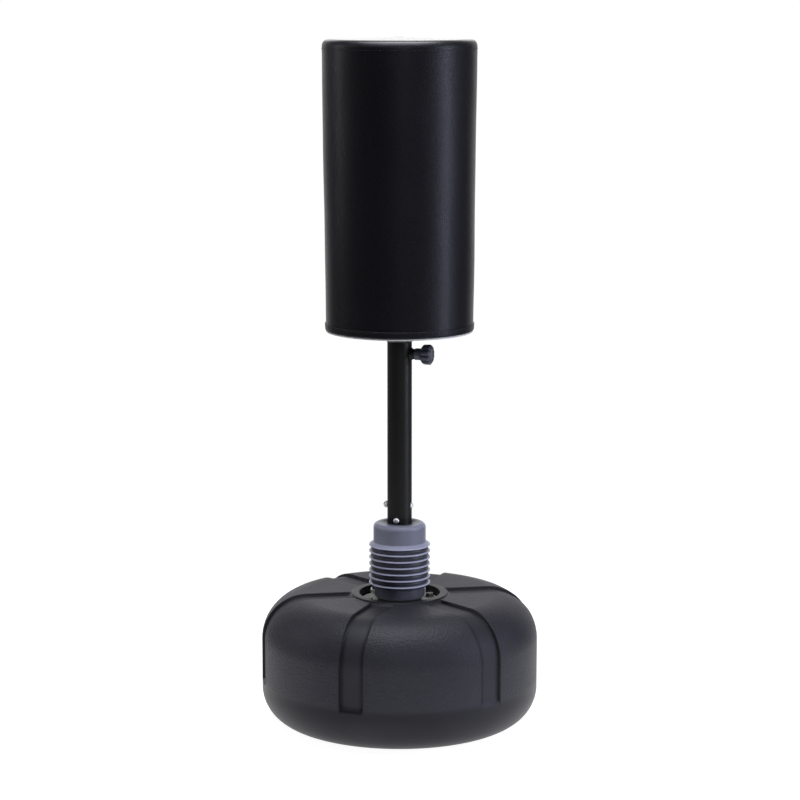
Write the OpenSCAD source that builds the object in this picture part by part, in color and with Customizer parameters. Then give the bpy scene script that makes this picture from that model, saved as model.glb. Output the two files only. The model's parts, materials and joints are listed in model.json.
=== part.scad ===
// Free-standing training bag: a fillable base, a sprung neck under a ribbed boot, a mast with a
// clamp knob, and a padded bag on a sliding post. Millimetres, +Z up, origin on the floor under
// the mast's centre line. The clamp knob points along +X and the front of the mast is -Y.

/* [Base tank] */
// Diameter of the tank
base_d = 474; // [440:2:570]
// Height of the tank's top face
base_h = 222; // [190:1:260]
// Radius of the rounded lower edge
lower_round = 62; // [40:1:80]
// Radius of the rounded shoulder
upper_round = 77; // [60:1:100]
// Wall of the tank
tank_wall = 5; // [4:0.5:6]
// Turn of the base about the mast, from the front
base_turn = -3.5; // [-30:0.5:30]
// Width of the flat ring that stands on the floor
foot_w = 55; // [30:1:70]
// Depth of the recess in the underside
sole_depth = 6; // [3:0.5:10]

/* [Channels] */
// Number of channels round the tank
channel_count = 6; // [4:1:8]
// Width of a channel
channel_w = 41; // [20:1:44]
// Depth of a channel
channel_depth = 3.5; // [2:0.5:5]
// Height of a channel's lower end above the rounded lower edge
channel_rise = 16; // [2:1:30]

/* [Ring and well] */
// Width of the raised ring
ring_w = 14; // [8:0.5:20]
// Height of the ring above the tank's top face
ring_h = 2; // [2:0.5:8]
// Depth of the well below the tank's top face
well_depth = 16; // [12:0.5:18]
// Gap round the base plate in the well
plate_gap = 3; // [1:0.5:5]
// Thickness of the base plate
plate_t = 5; // [4:0.5:6]

/* [Base fasteners] */
// Number of bolts through the base plate
plate_bolt_count = 4; // [3:1:6]
// Gap between the boot's lower band and the washers
washer_room = 4.2; // [2:0.1:8]
// Edge of the base plate beyond the washers
plate_edge = 3; // [2:0.5:8]
// Shank radius of a plate bolt
plate_bolt_r = 4; // [3:0.5:4]
// Turn of the plate bolts from the base's own front
plate_bolt_turn = 39; // [0:1:80]
// Outer radius of a moulded-in insert
insert_r = 6.5; // [6:0.5:8]
// Length of a moulded-in insert
insert_length = 16; // [12:1:20]

/* [Filler] */
// Gap between the raised ring and the filler cap
filler_room = 9.5; // [3:0.5:14]
// Bore radius of the filler neck
filler_r = 17; // [12:0.5:18]
// Height of the filler neck above the tank's top face
filler_h = 11; // [9:0.5:16]
// Wall of the filler cap's skirt
cap_wall = 4.1; // [3:0.1:6]

/* [Spring] */
// Mean radius of the coil
coil_r = 29; // [27:0.5:30]
// Radius of the wire
wire_r = 4.5; // [3.5:0.25:4.75]
// Number of turns
coil_turns = 7; // [5:1:8]
// Length of the spring over its end coils
spring_length = 88; // [80:1:100]
// Height of the solid lower socket above the base plate
socket_h = 22; // [20:0.5:28]
// Reach of the socket and of the plug's flange beyond the coil
socket_lip = 4.5; // [2:0.5:8]

/* [Boot] */
// Wall of the boot's smooth lower band
band_wall = 4.4; // [3:0.1:6]
// Wall of the boot's collar
collar_wall = 6.5; // [4:0.1:8]
// Wall of the boot between the ribs
boot_wall = 4; // [3:0.5:5]
// Reach of the folds beyond the lower band
groove_reach = 5.2; // [4.5:0.1:8]
// Reach of the ribs beyond the folds
rib_reach = 4.7; // [2:0.1:5]
// Radius of a rib's rounded edge
rib_round = 2.6; // [2:0.1:3]
// Number of ribs
rib_count = 7; // [5:1:8]
// Rounding of the collar's shoulder
shoulder_round = 8; // [4:0.5:10]
// Height of the lower band
band_h = 18; // [16:0.5:22]
// Height of the collar
collar_h = 33; // [28:0.5:36]

/* [Mast] */
// Outer diameter of the mast tube
mast_d = 42; // [40:0.5:46]
// Wall of the mast tube
mast_wall = 2; // [1.5:0.25:2.5]
// Length of the mast tube
mast_length = 330; // [290:1:380]
// Length of the plug inside the mast tube
plug_length = 64; // [60:1:80]
// Shank radius of a cross bolt
cross_bolt_r = 3; // [2.5:0.5:4]
// Gap between the boot and the front cross bolt's head
front_bolt_room = 0.5; // [0.3:0.1:3]
// Height of the side cross bolt above the mast tube's lower end
side_bolt_rise = 47; // [44:0.5:52]
// Reach of the flared bush beyond the mast
bush_lip = 3.2; // [1:0.1:6]
// Height of the bush above the mast tube
bush_flange_h = 14; // [8:0.5:18]

/* [Clamp] */
// Distance of the clamp's axis below the mast's top end
clamp_drop = 21; // [20:0.5:26]
// Shank radius of the clamp stud
stud_r = 5; // [4:0.5:6]
// Radius of the weld nut
boss_r = 9; // [8.5:0.5:10]
// Reach of the weld nut beyond the mast tube
boss_reach = 5.5; // [4:0.5:8]
// Radius of the knob's neck
neck_r = 10; // [9:0.5:12]
// Length of the knob's neck
neck_length = 8; // [6:0.5:12]
// Radius of the knob's head
knob_r = 17.4; // [15:0.2:22]
// Length of the knob's head
knob_length = 23; // [18:0.5:28]
// Number of grip flutes round the knob's head
flute_count = 10; // [6:1:12]

/* [Post] */
// Wall of the guide bush between the post and the mast
guide_wall = 1.4; // [1:0.1:3]
// Wall of the sliding post
post_wall = 1.5; // [1:0.25:2]
// Length of the guide bush on the post's foot
guide_length = 28; // [20:1:34]
// Radius of the support plate under the bag
support_r = 90; // [70:1:100]
// Thickness of the support plate
support_t = 6; // [3:0.5:8]

/* [Bag] */
// Diameter of the bag at its lower end
bag_bottom_d = 249; // [220:1:300]
// Diameter of the bag at its upper end
bag_top_d = 260; // [220:1:300]
// Height of the bag
bag_h = 490; // [400:5:700]
// Rounding of the bag's upper edge
bag_round = 13; // [12:1:20]
// Thickness of the cover
cover_t = 1.5; // [1:0.25:2]
// Thickness of the boards at both ends
board_t = 12; // [9:1:18]
// Thickness of the foam pad over the top board
top_pad_t = 14; // [10:1:20]
// Height of the hem band round the lower edge
hem_h = 12; // [8:0.5:20]
// Reach of the hem band beyond the side cover
hem_reach = 1.6; // [1:0.1:3]
// Width of the back seam strip
seam_w = 14; // [8:1:24]

/* [Hidden] */
$fn = 64;

// Radial room of a sliding or turning fit, room round a bolt, and gap between loose neighbours
fit_gap = 0.05;
bolt_gap = 0.25;
loose_gap = 0.4;
// Overlap that joins solids of one piece
weld = 0.5;
arc_steps = 14;

base_r = base_d / 2;
sole_r = base_r - lower_round - foot_w;
channel_end = lower_round + channel_rise;
ring_top = base_h + ring_h;
well_floor = base_h - well_depth;
plate_top = well_floor + plate_t;
boss_wall = 4.5;
insert_boss_depth = insert_length + boss_wall;
washer_t = 1.6;
washer_r = plate_bolt_r * 2;
plate_head_r = plate_bolt_r * 1.63;
plate_head_h = plate_bolt_r * 1.25;

socket_r = coil_r + wire_r + socket_lip;
socket_top = plate_top + socket_h;
boot_bolt_z = plate_top + 16;
boot_bolt_r = 4;
boot_bolt_turn = 20;
spring_bottom = socket_top + 0.3;
spring_top = spring_bottom + spring_length;
plug_bottom = spring_top + 0.3;
spigot_r = coil_r - wire_r - 0.5;
spigot_length = 15;
flange_t = 8;
coil_steps = 24;
wire_steps = 8;

mast_bottom = plug_bottom + flange_t;
mast_r = mast_d / 2;
mast_bore_r = mast_r - mast_wall;
mast_top = mast_bottom + mast_length;
plug_r = mast_bore_r - fit_gap;
side_bolt_z = mast_bottom + side_bolt_rise;
cross_head_r = cross_bolt_r * 1.75;
cross_head_h = cross_bolt_r * 1.1;
cross_nut_r = cross_bolt_r * 1.92;
cross_nut_h = cross_bolt_r * 1.67;
cross_end = 2;
bush_flange_r = mast_r + bush_lip;
bush_flare = 4;
bush_sleeve = 14;

band_r = socket_r + loose_gap + band_wall;
collar_r = socket_r + loose_gap + collar_wall;
groove_r = band_r + groove_reach;
rib_r = groove_r + rib_reach;
boot_top = mast_bottom + 17;
collar_bottom = boot_top - collar_h;
boot_bottom = plate_top + 7;
band_top = boot_bottom + band_h;
rib_pitch = (collar_bottom - band_top) / rib_count;
front_bolt_z = boot_top + front_bolt_room + cross_head_r;

plate_bolt_circle = band_r + washer_room + washer_r;
plate_r = plate_bolt_circle + washer_r + plate_edge;
well_r = plate_r + plate_gap;
ring_r = well_r + ring_w;

filler_neck_wall = 4;
filler_angle = 180 / channel_count * (2 * floor(channel_count / 2) + 1);
filler_top = base_h + filler_h;
seal_t = 1.5;
cap_r = filler_r + filler_neck_wall + loose_gap + cap_wall;
cap_roof = 3;
cap_flutes = 16;
cap_flute_r = 1.8;
cap_bar_w = 6;
cap_bar_h = 4;
filler_place = ring_r + filler_room + cap_r;

clamp_z = mast_top - clamp_drop;
boss_end = mast_r + boss_reach;
knob_start = boss_end + loose_gap;
head_start = knob_start + neck_length;
head_flare = knob_length * 0.3;
head_bevel = knob_length * 0.12;
stud_end = head_start + knob_length * 0.6;
flute_r = knob_r * 0.16;

post_r = mast_bore_r - guide_wall - 2 * fit_gap;
post_bore_r = post_r - post_wall;
stop_r = mast_bore_r - 0.45;
post_bottom = mast_bottom + plug_length + 8;
foot_t = 3;
plug_depth = 16;
guide_bottom = post_bottom + 0.3;
clip_t = 1.5;
clip_bottom = guide_bottom + guide_length + 0.3;

support_bottom = mast_top + bush_flange_h + 0.5;
support_top = support_bottom + support_t;
bag_bottom = support_top;
bag_top = bag_bottom + bag_h;
bottom_r = bag_bottom_d / 2;
top_r = bag_top_d / 2;
board_bottom = bag_bottom + cover_t;
foam_bottom = board_bottom + board_t;
pad_top = bag_top - cover_t;
pad_bottom = pad_top - top_pad_t;
foam_top = pad_bottom - board_t;
side_top = bag_top - bag_round;
post_top = foam_top - 4;
core_wall = 3;
core_r = post_r + fit_gap + core_wall;
screw_r = 3;
screw_head_r = 6;
screw_circle = support_r - 20;
screw_count = 4;
screw_reach = support_t + cover_t + board_t - 2;
hem_tuck = 2;
seam_reach = 1.2;

// Points of an arc about (cx, cz), from angle a0 to a1
function arc(cx, cz, r, a0, a1) =
  [for (i = [0 : arc_steps]) let (a = a0 + (a1 - a0) * i / arc_steps) [cx + r * cos(a), cz + r * sin(a)]];

// Half outline of the tank, moved inwards by inset
function tank_outline(inset) = concat(
  [[0, inset]],
  arc(base_r - lower_round, lower_round, lower_round - inset, -90, 0),
  arc(base_r - upper_round, base_h - upper_round, upper_round - inset, 0, 90),
  [[0, base_h - inset]]
);

// Radius of the bag's tapered side at height z
function bag_r(z) = bottom_r + (top_r - bottom_r) * (z - bag_bottom) / (side_top - bag_bottom);

// One point of the wire's skin: turn angle t along the coil, angle w round the wire
function coil_point(t, w, rise) = [
  (coil_r + wire_r * cos(w)) * cos(t),
  (coil_r + wire_r * cos(w)) * sin(t),
  rise * t / 360 + wire_r * sin(w)
];

module tank_solid(inset) {
  rotate_extrude($fn = 96)
    polygon(tank_outline(inset));
}

module channel_boxes(extra) {
  for (k = [0 : channel_count - 1])
    rotate([0, 0, k * 360 / channel_count])
      translate([-channel_w / 2 - extra, -base_r - 10, channel_end - extra])
        cube([channel_w + 2 * extra, base_r + 10 - ring_r + extra, base_h]);
}

// The part of the channel boxes that lies outside the tank outline moved in by inset
module channel_cutters(extra, inset) {
  difference() {
    channel_boxes(extra);
    tank_solid(inset);
  }
}

module at_plate_bolts() {
  for (k = [0 : plate_bolt_count - 1])
    rotate([0, 0, base_turn + plate_bolt_turn + k * 360 / plate_bolt_count])
      translate([plate_bolt_circle, 0, 0])
        children();
}

module at_filler() {
  rotate([0, 0, base_turn + filler_angle])
    translate([0, -filler_place, 0])
      children();
}

// Ring with a rectangular section: outer radius, inner radius, lower and upper height
module band(outer, inner, low, high) {
  difference() {
    translate([0, 0, low])
      cylinder(r = outer, h = high - low);
    translate([0, 0, low - 1])
      cylinder(r = inner, h = high - low + 2);
  }
}

module tank_hollow() {
  difference() {
    tank_solid(tank_wall);
    channel_cutters(tank_wall, tank_wall + channel_depth);
    translate([0, 0, well_floor - tank_wall])
      cylinder(r = well_r + tank_wall, h = base_h);
    cylinder(r = sole_r + tank_wall, h = sole_depth + tank_wall);
    rotate([0, 0, -base_turn])
      at_plate_bolts()
        translate([0, 0, well_floor - insert_boss_depth])
          cylinder(r = insert_r + boss_wall, h = insert_boss_depth);
  }
}

module base_tank() {
  color([0.09, 0.09, 0.095])
    difference() {
      union() {
        rotate([0, 0, base_turn])
          difference() {
            tank_solid(0);
            channel_cutters(0, channel_depth);
          }
        translate([0, 0, base_h - tank_wall])
          cylinder(r = ring_r, h = tank_wall + ring_h);
        at_filler()
          translate([0, 0, base_h - tank_wall])
            cylinder(r = filler_r + filler_neck_wall, h = tank_wall + filler_h);
      }
      rotate([0, 0, base_turn])
        tank_hollow();
      translate([0, 0, well_floor])
        cylinder(r = well_r, h = base_h);
      translate([0, 0, -1])
        cylinder(r = sole_r, h = sole_depth + 1);
      at_plate_bolts()
        translate([0, 0, well_floor - insert_length])
          cylinder(r = insert_r, h = insert_length + 1);
      at_filler()
        translate([0, 0, base_h - tank_wall - 2])
          cylinder(r = filler_r, h = tank_wall + filler_h + 4);
    }
}

module plate_inserts() {
  color([0.72, 0.6, 0.35])
    at_plate_bolts()
      band(insert_r, plate_bolt_r + fit_gap, well_floor - insert_length, well_floor);
}

module base_plate() {
  color([0.45, 0.46, 0.42])
    difference() {
      translate([0, 0, well_floor])
        cylinder(r = plate_r, h = plate_t);
      at_plate_bolts()
        translate([0, 0, well_floor - 1])
          cylinder(r = plate_bolt_r + bolt_gap, h = plate_t + 2);
    }
}

module plate_washers() {
  color([0.75, 0.75, 0.76])
    at_plate_bolts()
      band(washer_r, plate_bolt_r + bolt_gap, plate_top, plate_top + washer_t);
}

module plate_bolts() {
  color([0.72, 0.72, 0.74])
    at_plate_bolts() {
      translate([0, 0, well_floor - insert_length + 1])
        cylinder(r = plate_bolt_r, h = insert_length - 1 + plate_t + washer_t + weld);
      translate([0, 0, plate_top + washer_t])
        cylinder(r = plate_head_r, h = plate_head_h, $fn = 6);
    }
}

// Places its children along a horizontal bolt through the socket, +X outwards
module at_boot_bolt() {
  translate([0, 0, boot_bolt_z])
    rotate([0, 0, base_turn + boot_bolt_turn])
      rotate([0, 90, 0])
        children();
}

module spring_socket() {
  color([0.2, 0.2, 0.21])
    difference() {
      union() {
        translate([0, 0, plate_top])
          cylinder(r = socket_r, h = socket_h);
        translate([0, 0, plate_top])
          cylinder(r = spigot_r, h = socket_h + spigot_length);
      }
      at_boot_bolt()
        translate([0, 0, -band_r])
          cylinder(r = boot_bolt_r + bolt_gap, h = 2 * band_r);
    }
}

module boot_bolt() {
  color([0.75, 0.75, 0.77])
    at_boot_bolt() {
      translate([0, 0, -band_r - 3])
        cylinder(r = boot_bolt_r, h = 2 * band_r + 3 + weld);
      translate([0, 0, band_r])
        dome(6.6, 2.4);
    }
}

module boot_nut() {
  color([0.82, 0.82, 0.83])
    at_boot_bolt()
      mirror([0, 0, 1])
        translate([0, 0, band_r])
          difference() {
            union() {
              cylinder(r = 6.8, h = 3.4, $fn = 6);
              translate([0, 0, 3.4 - weld])
                cylinder(r = 5.2, h = 1.6 + weld);
              translate([0, 0, 5])
                dome(5.2, 2.2);
            }
            translate([0, 0, -1])
              cylinder(r = boot_bolt_r + fit_gap, h = 4.4);
          }
}

// Low dome with a flat seat at z = 0: a cap of a sphere through the rim at radius r, height h
module dome(r, h) {
  ball = (r * r + h * h) / (2 * h);
  intersection() {
    translate([0, 0, h - ball])
      sphere(r = ball);
    cylinder(r = r + 1, h = h + 1);
  }
}

module cap_seal() {
  color([0.12, 0.12, 0.12])
    at_filler()
      band(filler_r + filler_neck_wall - 0.2, filler_r + 0.5, filler_top + 0.05, filler_top + seal_t);
}

module filler_cap() {
  roof = filler_top + seal_t + 0.1;
  skirt_low = base_h + 1;
  color([0.1, 0.1, 0.105])
    at_filler()
      difference() {
        union() {
          translate([0, 0, skirt_low])
            cylinder(r = cap_r, h = roof + cap_roof - skirt_low);
          translate([-cap_r + cap_bar_w, -cap_bar_w / 2, roof + cap_roof - weld])
            cube([2 * (cap_r - cap_bar_w), cap_bar_w, cap_bar_h + weld]);
        }
        translate([0, 0, skirt_low - 1])
          cylinder(r = filler_r + filler_neck_wall + loose_gap, h = roof - skirt_low + 1);
        for (k = [0 : cap_flutes - 1])
          rotate([0, 0, k * 360 / cap_flutes])
            translate([cap_r + cap_flute_r / 3, 0, skirt_low - 1])
              cylinder(r = cap_flute_r, h = roof + cap_roof - skirt_low + 2, $fn = 24);
      }
}

module coil_spring() {
  rise = (spring_length - 2 * wire_r) / coil_turns;
  steps = coil_turns * coil_steps;
  rings = [for (i = [0 : steps]) for (j = [0 : wire_steps - 1])
    coil_point(i * 360 / coil_steps, j * 360 / wire_steps, rise)];
  walls = [for (i = [0 : steps - 1]) for (j = [0 : wire_steps - 1])
    let (k = (j + 1) % wire_steps, a = i * wire_steps, b = a + wire_steps)
      [a + j, a + k, b + k, b + j]];
  first = [[for (j = [wire_steps - 1 : -1 : 0]) j]];
  last = [[for (j = [0 : wire_steps - 1]) steps * wire_steps + j]];
  color([0.16, 0.16, 0.17])
    translate([0, 0, spring_bottom + wire_r])
      polyhedron(rings, concat(walls, first, last));
}

module boot_skin() {
  translate([0, boot_bottom])
    square([band_r, band_top - boot_bottom + weld]);
  translate([0, band_top])
    square([groove_r, collar_bottom - band_top]);
  for (k = [0 : rib_count - 1]) {
    translate([0, band_top + (k + 0.5) * rib_pitch - rib_round])
      square([rib_r - rib_round, 2 * rib_round]);
    translate([rib_r - rib_round, band_top + (k + 0.5) * rib_pitch])
      circle(r = rib_round, $fn = 32);
  }
  polygon(concat(
    [[0, collar_bottom - weld], [collar_r, collar_bottom - weld]],
    arc(collar_r - shoulder_round, boot_top - shoulder_round, shoulder_round, 0, 90),
    [[0, boot_top]]
  ));
}

module boot_bore() {
  translate([-1, boot_bottom - 1])
    square([socket_r + loose_gap + 1, band_top - boot_bottom + 2]);
  translate([-1, band_top + boot_wall])
    square([groove_r - boot_wall + 1, collar_bottom - band_top - 2 * boot_wall]);
  translate([-1, band_top])
    square([socket_r + loose_gap + 1, mast_bottom + loose_gap - band_top]);
  translate([-1, band_top])
    square([mast_r + loose_gap + 1, boot_top - band_top + 1]);
}

module spring_boot() {
  color([0.42, 0.42, 0.48])
    difference() {
      rotate_extrude($fn = 96)
        difference() {
          boot_skin();
          boot_bore();
        }
      at_boot_bolt()
        translate([0, 0, -band_r - 1])
          cylinder(r = boot_bolt_r + bolt_gap, h = 2 * band_r + 2);
    }
}

module spring_plug() {
  color([0.2, 0.2, 0.21])
    difference() {
      union() {
        translate([0, 0, plug_bottom - spigot_length])
          cylinder(r = spigot_r, h = spigot_length + flange_t);
        translate([0, 0, plug_bottom])
          cylinder(r = socket_r, h = flange_t);
        translate([0, 0, plug_bottom])
          cylinder(r = plug_r, h = flange_t + plug_length);
      }
      at_cross_bolts()
        translate([0, 0, -mast_r - 1])
          cylinder(r = cross_bolt_r + bolt_gap, h = mast_d + 2);
    }
}

// Places its children along both cross bolts of the mast, head end outwards along +Z
module at_cross_bolts() {
  translate([0, 0, front_bolt_z])
    rotate([90, 0, 0])
      children();
  translate([0, 0, side_bolt_z])
    rotate([0, 90, 0])
      children();
}

// Places its children along the clamp's axis, outwards along +Z
module at_clamp() {
  translate([0, 0, clamp_z])
    rotate([0, 90, 0])
      children();
}

module mast_tube() {
  color([0.03, 0.03, 0.035])
    difference() {
      band(mast_r, mast_bore_r, mast_bottom, mast_top);
      at_cross_bolts()
        translate([0, 0, -mast_r - 1])
          cylinder(r = cross_bolt_r + bolt_gap, h = mast_d + 2);
      at_clamp()
        cylinder(r = stud_r + bolt_gap, h = mast_r + 1);
    }
}

module cross_bolts() {
  color([0.78, 0.78, 0.8])
    at_cross_bolts() {
      translate([0, 0, -mast_r - cross_nut_h - cross_end])
        cylinder(r = cross_bolt_r, h = mast_d + cross_nut_h + cross_end + weld);
      translate([0, 0, mast_r])
        dome(cross_head_r, cross_head_h);
    }
}

module cross_nuts() {
  color([0.74, 0.74, 0.76])
    at_cross_bolts()
      translate([0, 0, -mast_r - cross_nut_h])
        difference() {
          cylinder(r = cross_nut_r, h = cross_nut_h, $fn = 6);
          translate([0, 0, -1])
            cylinder(r = cross_bolt_r + fit_gap, h = cross_nut_h + 2);
        }
}

module mast_bush() {
  color([0.05, 0.05, 0.055])
    difference() {
      union() {
        translate([0, 0, mast_top - bush_sleeve])
          cylinder(r = mast_bore_r - fit_gap, h = bush_sleeve + bush_flange_h);
        translate([0, 0, mast_top])
          cylinder(r1 = bush_flange_r - bush_lip * 0.6, r2 = bush_flange_r, h = bush_flare);
        translate([0, 0, mast_top + bush_flare - fit_gap])
          cylinder(r = bush_flange_r, h = bush_flange_h - bush_flare + fit_gap);
      }
      translate([0, 0, mast_top - bush_sleeve - 1])
        cylinder(r = post_r + fit_gap * 2, h = bush_sleeve + bush_flange_h + 2);
    }
}

module weld_nut() {
  color([0.04, 0.04, 0.045])
    difference() {
      at_clamp()
        difference() {
          cylinder(r = boss_r, h = boss_end);
          translate([0, 0, -1])
            cylinder(r = stud_r + fit_gap, h = boss_end + 2);
        }
      translate([0, 0, clamp_z - boss_r - 1])
        cylinder(r = mast_r, h = 2 * boss_r + 2);
    }
}

module clamp_stud() {
  tip = post_r + bolt_gap;
  color([0.7, 0.7, 0.72])
    at_clamp()
      translate([0, 0, tip])
        cylinder(r = stud_r, h = stud_end - tip);
}

module clamp_knob() {
  color([0.28, 0.29, 0.33])
    at_clamp()
      difference() {
        union() {
          translate([0, 0, knob_start])
            cylinder(r = neck_r, h = neck_length + weld);
          translate([0, 0, head_start])
            cylinder(r1 = neck_r + 3, r2 = knob_r, h = head_flare);
          translate([0, 0, head_start + head_flare - fit_gap])
            cylinder(r = knob_r, h = knob_length - head_flare - head_bevel + 2 * fit_gap);
          translate([0, 0, head_start + knob_length - head_bevel])
            cylinder(r1 = knob_r, r2 = knob_r - 3, h = head_bevel);
        }
        translate([0, 0, knob_start - 1])
          cylinder(r = stud_r + fit_gap, h = stud_end - knob_start + 2);
        for (k = [0 : flute_count - 1])
          rotate([0, 0, (k + 0.5) * 360 / flute_count])
            translate([knob_r + flute_r * 0.35, 0, head_start - 1])
              cylinder(r = flute_r, h = knob_length - head_bevel + 1, $fn = 24);
      }
}

module guide_bush() {
  color([0.85, 0.85, 0.82])
    band(mast_bore_r - fit_gap, post_r + fit_gap, guide_bottom, guide_bottom + guide_length);
}

module post_clip() {
  color([0.6, 0.6, 0.62])
    band(stop_r, post_r, clip_bottom, clip_bottom + clip_t);
}

module foot_plug() {
  color([0.06, 0.06, 0.06]) {
    translate([0, 0, post_bottom - foot_t])
      cylinder(r = stop_r, h = foot_t);
    translate([0, 0, post_bottom - weld])
      cylinder(r = post_bore_r, h = plug_depth + weld);
  }
}

module sliding_post() {
  color([0.05, 0.05, 0.055])
    band(post_r, post_bore_r, post_bottom, post_top);
}

module post_cap() {
  color([0.06, 0.06, 0.06]) {
    translate([0, 0, post_top - plug_depth])
      cylinder(r = post_bore_r, h = plug_depth + weld);
    translate([0, 0, post_top])
      cylinder(r = post_r, h = 2);
  }
}

module at_support_screws() {
  for (k = [0 : screw_count - 1])
    rotate([0, 0, 45 + k * 360 / screw_count])
      translate([screw_circle, 0, 0])
        children();
}

module support_plate() {
  color([0.06, 0.06, 0.065])
    difference() {
      translate([0, 0, support_bottom])
        cylinder(r = support_r, h = support_t);
      translate([0, 0, support_bottom - 1])
        cylinder(r = post_r, h = support_t + 2);
      at_support_screws()
        translate([0, 0, support_bottom - 1])
          cylinder(r = screw_r + bolt_gap, h = support_t + 2);
    }
}

module support_screws() {
  color([0.7, 0.7, 0.72])
    at_support_screws() {
      translate([0, 0, support_bottom])
        mirror([0, 0, 1])
          dome(screw_head_r, screw_head_r / 2);
      translate([0, 0, support_bottom - weld])
        cylinder(r = screw_r, h = weld + screw_reach);
    }
}

// Holes for the support screws through whatever lies over the support plate
module screw_holes() {
  at_support_screws()
    translate([0, 0, support_bottom])
      cylinder(r = screw_r + fit_gap, h = screw_reach + 1);
}

module bottom_board() {
  color([0.72, 0.58, 0.4])
    difference() {
      translate([0, 0, board_bottom])
        cylinder(r = bottom_r - cover_t - loose_gap, h = board_t);
      translate([0, 0, board_bottom - 1])
        cylinder(r = post_r + fit_gap, h = board_t + 2);
      screw_holes();
    }
}

module core_tube() {
  color([0.66, 0.55, 0.4])
    band(core_r, post_r + fit_gap, foam_bottom, foam_top);
}

module foam_core() {
  color([0.85, 0.85, 0.87])
    difference() {
      translate([0, 0, foam_bottom])
        cylinder(
          r1 = bag_r(foam_bottom) - cover_t - 0.3,
          r2 = bag_r(foam_top) - cover_t - 0.3,
          h = foam_top - foam_bottom
        );
      translate([0, 0, foam_bottom - 1])
        cylinder(r = core_r + fit_gap, h = foam_top - foam_bottom + 2);
    }
}

module top_board() {
  color([0.72, 0.58, 0.4])
    translate([0, 0, foam_top])
      cylinder(r = bag_r(foam_top) - cover_t - 0.6, h = board_t);
}

module top_pad() {
  color([0.85, 0.85, 0.87])
    intersection() {
      translate([0, 0, pad_bottom])
        cylinder(r = top_r, h = top_pad_t - 0.2);
      bag_solid(cover_t + 0.3);
    }
}

// The bag's outer shape, moved inwards by inset: tapered side and rounded upper edge
module bag_solid(inset) {
  rotate_extrude($fn = 96)
    polygon(concat(
      [[0, bag_bottom + inset], [bottom_r - inset, bag_bottom + inset]],
      arc(top_r - bag_round, side_top, bag_round - inset, 0, 90),
      [[0, bag_top - inset]]
    ));
}

module bag_skin() {
  difference() {
    bag_solid(0);
    bag_solid(cover_t);
  }
}

module cover_side() {
  color([0.02, 0.02, 0.022])
    intersection() {
      bag_skin();
      translate([0, 0, board_bottom])
        cylinder(r = top_r + bottom_r, h = side_top - board_bottom);
    }
}

module cover_top() {
  color([0.02, 0.02, 0.022])
    intersection() {
      bag_skin();
      translate([0, 0, side_top])
        cylinder(r = top_r + bottom_r, h = bag_round + 1);
    }
}

module cover_bottom() {
  color([0.03, 0.03, 0.03])
    difference() {
      translate([0, 0, bag_bottom])
        cylinder(r = bottom_r, h = cover_t);
      translate([0, 0, bag_bottom - 1])
        cylinder(r = post_r + fit_gap, h = cover_t + 2);
      screw_holes();
    }
}

module hem_band() {
  color([0.015, 0.015, 0.017])
    rotate_extrude($fn = 96)
      polygon([
        [bottom_r, bag_bottom],
        [bottom_r + hem_reach * 0.4, bag_bottom],
        [bag_r(bag_bottom + hem_tuck) + hem_reach, bag_bottom + hem_tuck],
        [bag_r(bag_bottom + hem_h) + hem_reach, bag_bottom + hem_h],
        [bag_r(bag_bottom + hem_h), bag_bottom + hem_h]
      ]);
}

module seam_strip() {
  strip_low = bag_bottom + hem_h + 1;
  color([0.015, 0.015, 0.017])
    intersection() {
      difference() {
        bag_solid(-seam_reach);
        bag_solid(0);
      }
      translate([-seam_w / 2, 0, strip_low])
        cube([seam_w, top_r + 10, side_top - strip_low]);
    }
}

base_tank();
plate_inserts();
base_plate();
plate_washers();
plate_bolts();
spring_socket();
boot_bolt();
boot_nut();
cap_seal();
filler_cap();
coil_spring();
spring_boot();
spring_plug();
mast_tube();
cross_bolts();
cross_nuts();
mast_bush();
weld_nut();
clamp_stud();
clamp_knob();
guide_bush();
post_clip();
foot_plug();
sliding_post();
post_cap();
support_plate();
support_screws();
bottom_board();
core_tube();
foam_core();
top_board();
top_pad();
cover_side();
cover_top();
cover_bottom();
hem_band();
seam_strip();
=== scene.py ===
"""Looks of a free-standing training bag: surfaces, finishes and a plain studio, on the packed frame.

The script is laid out as an add-on: sizes and colours are property groups, each group of pieces
is one operator, and main() runs them in order. Metres, +Z up, in the frame's own coordinates."""
import json
import math

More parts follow.
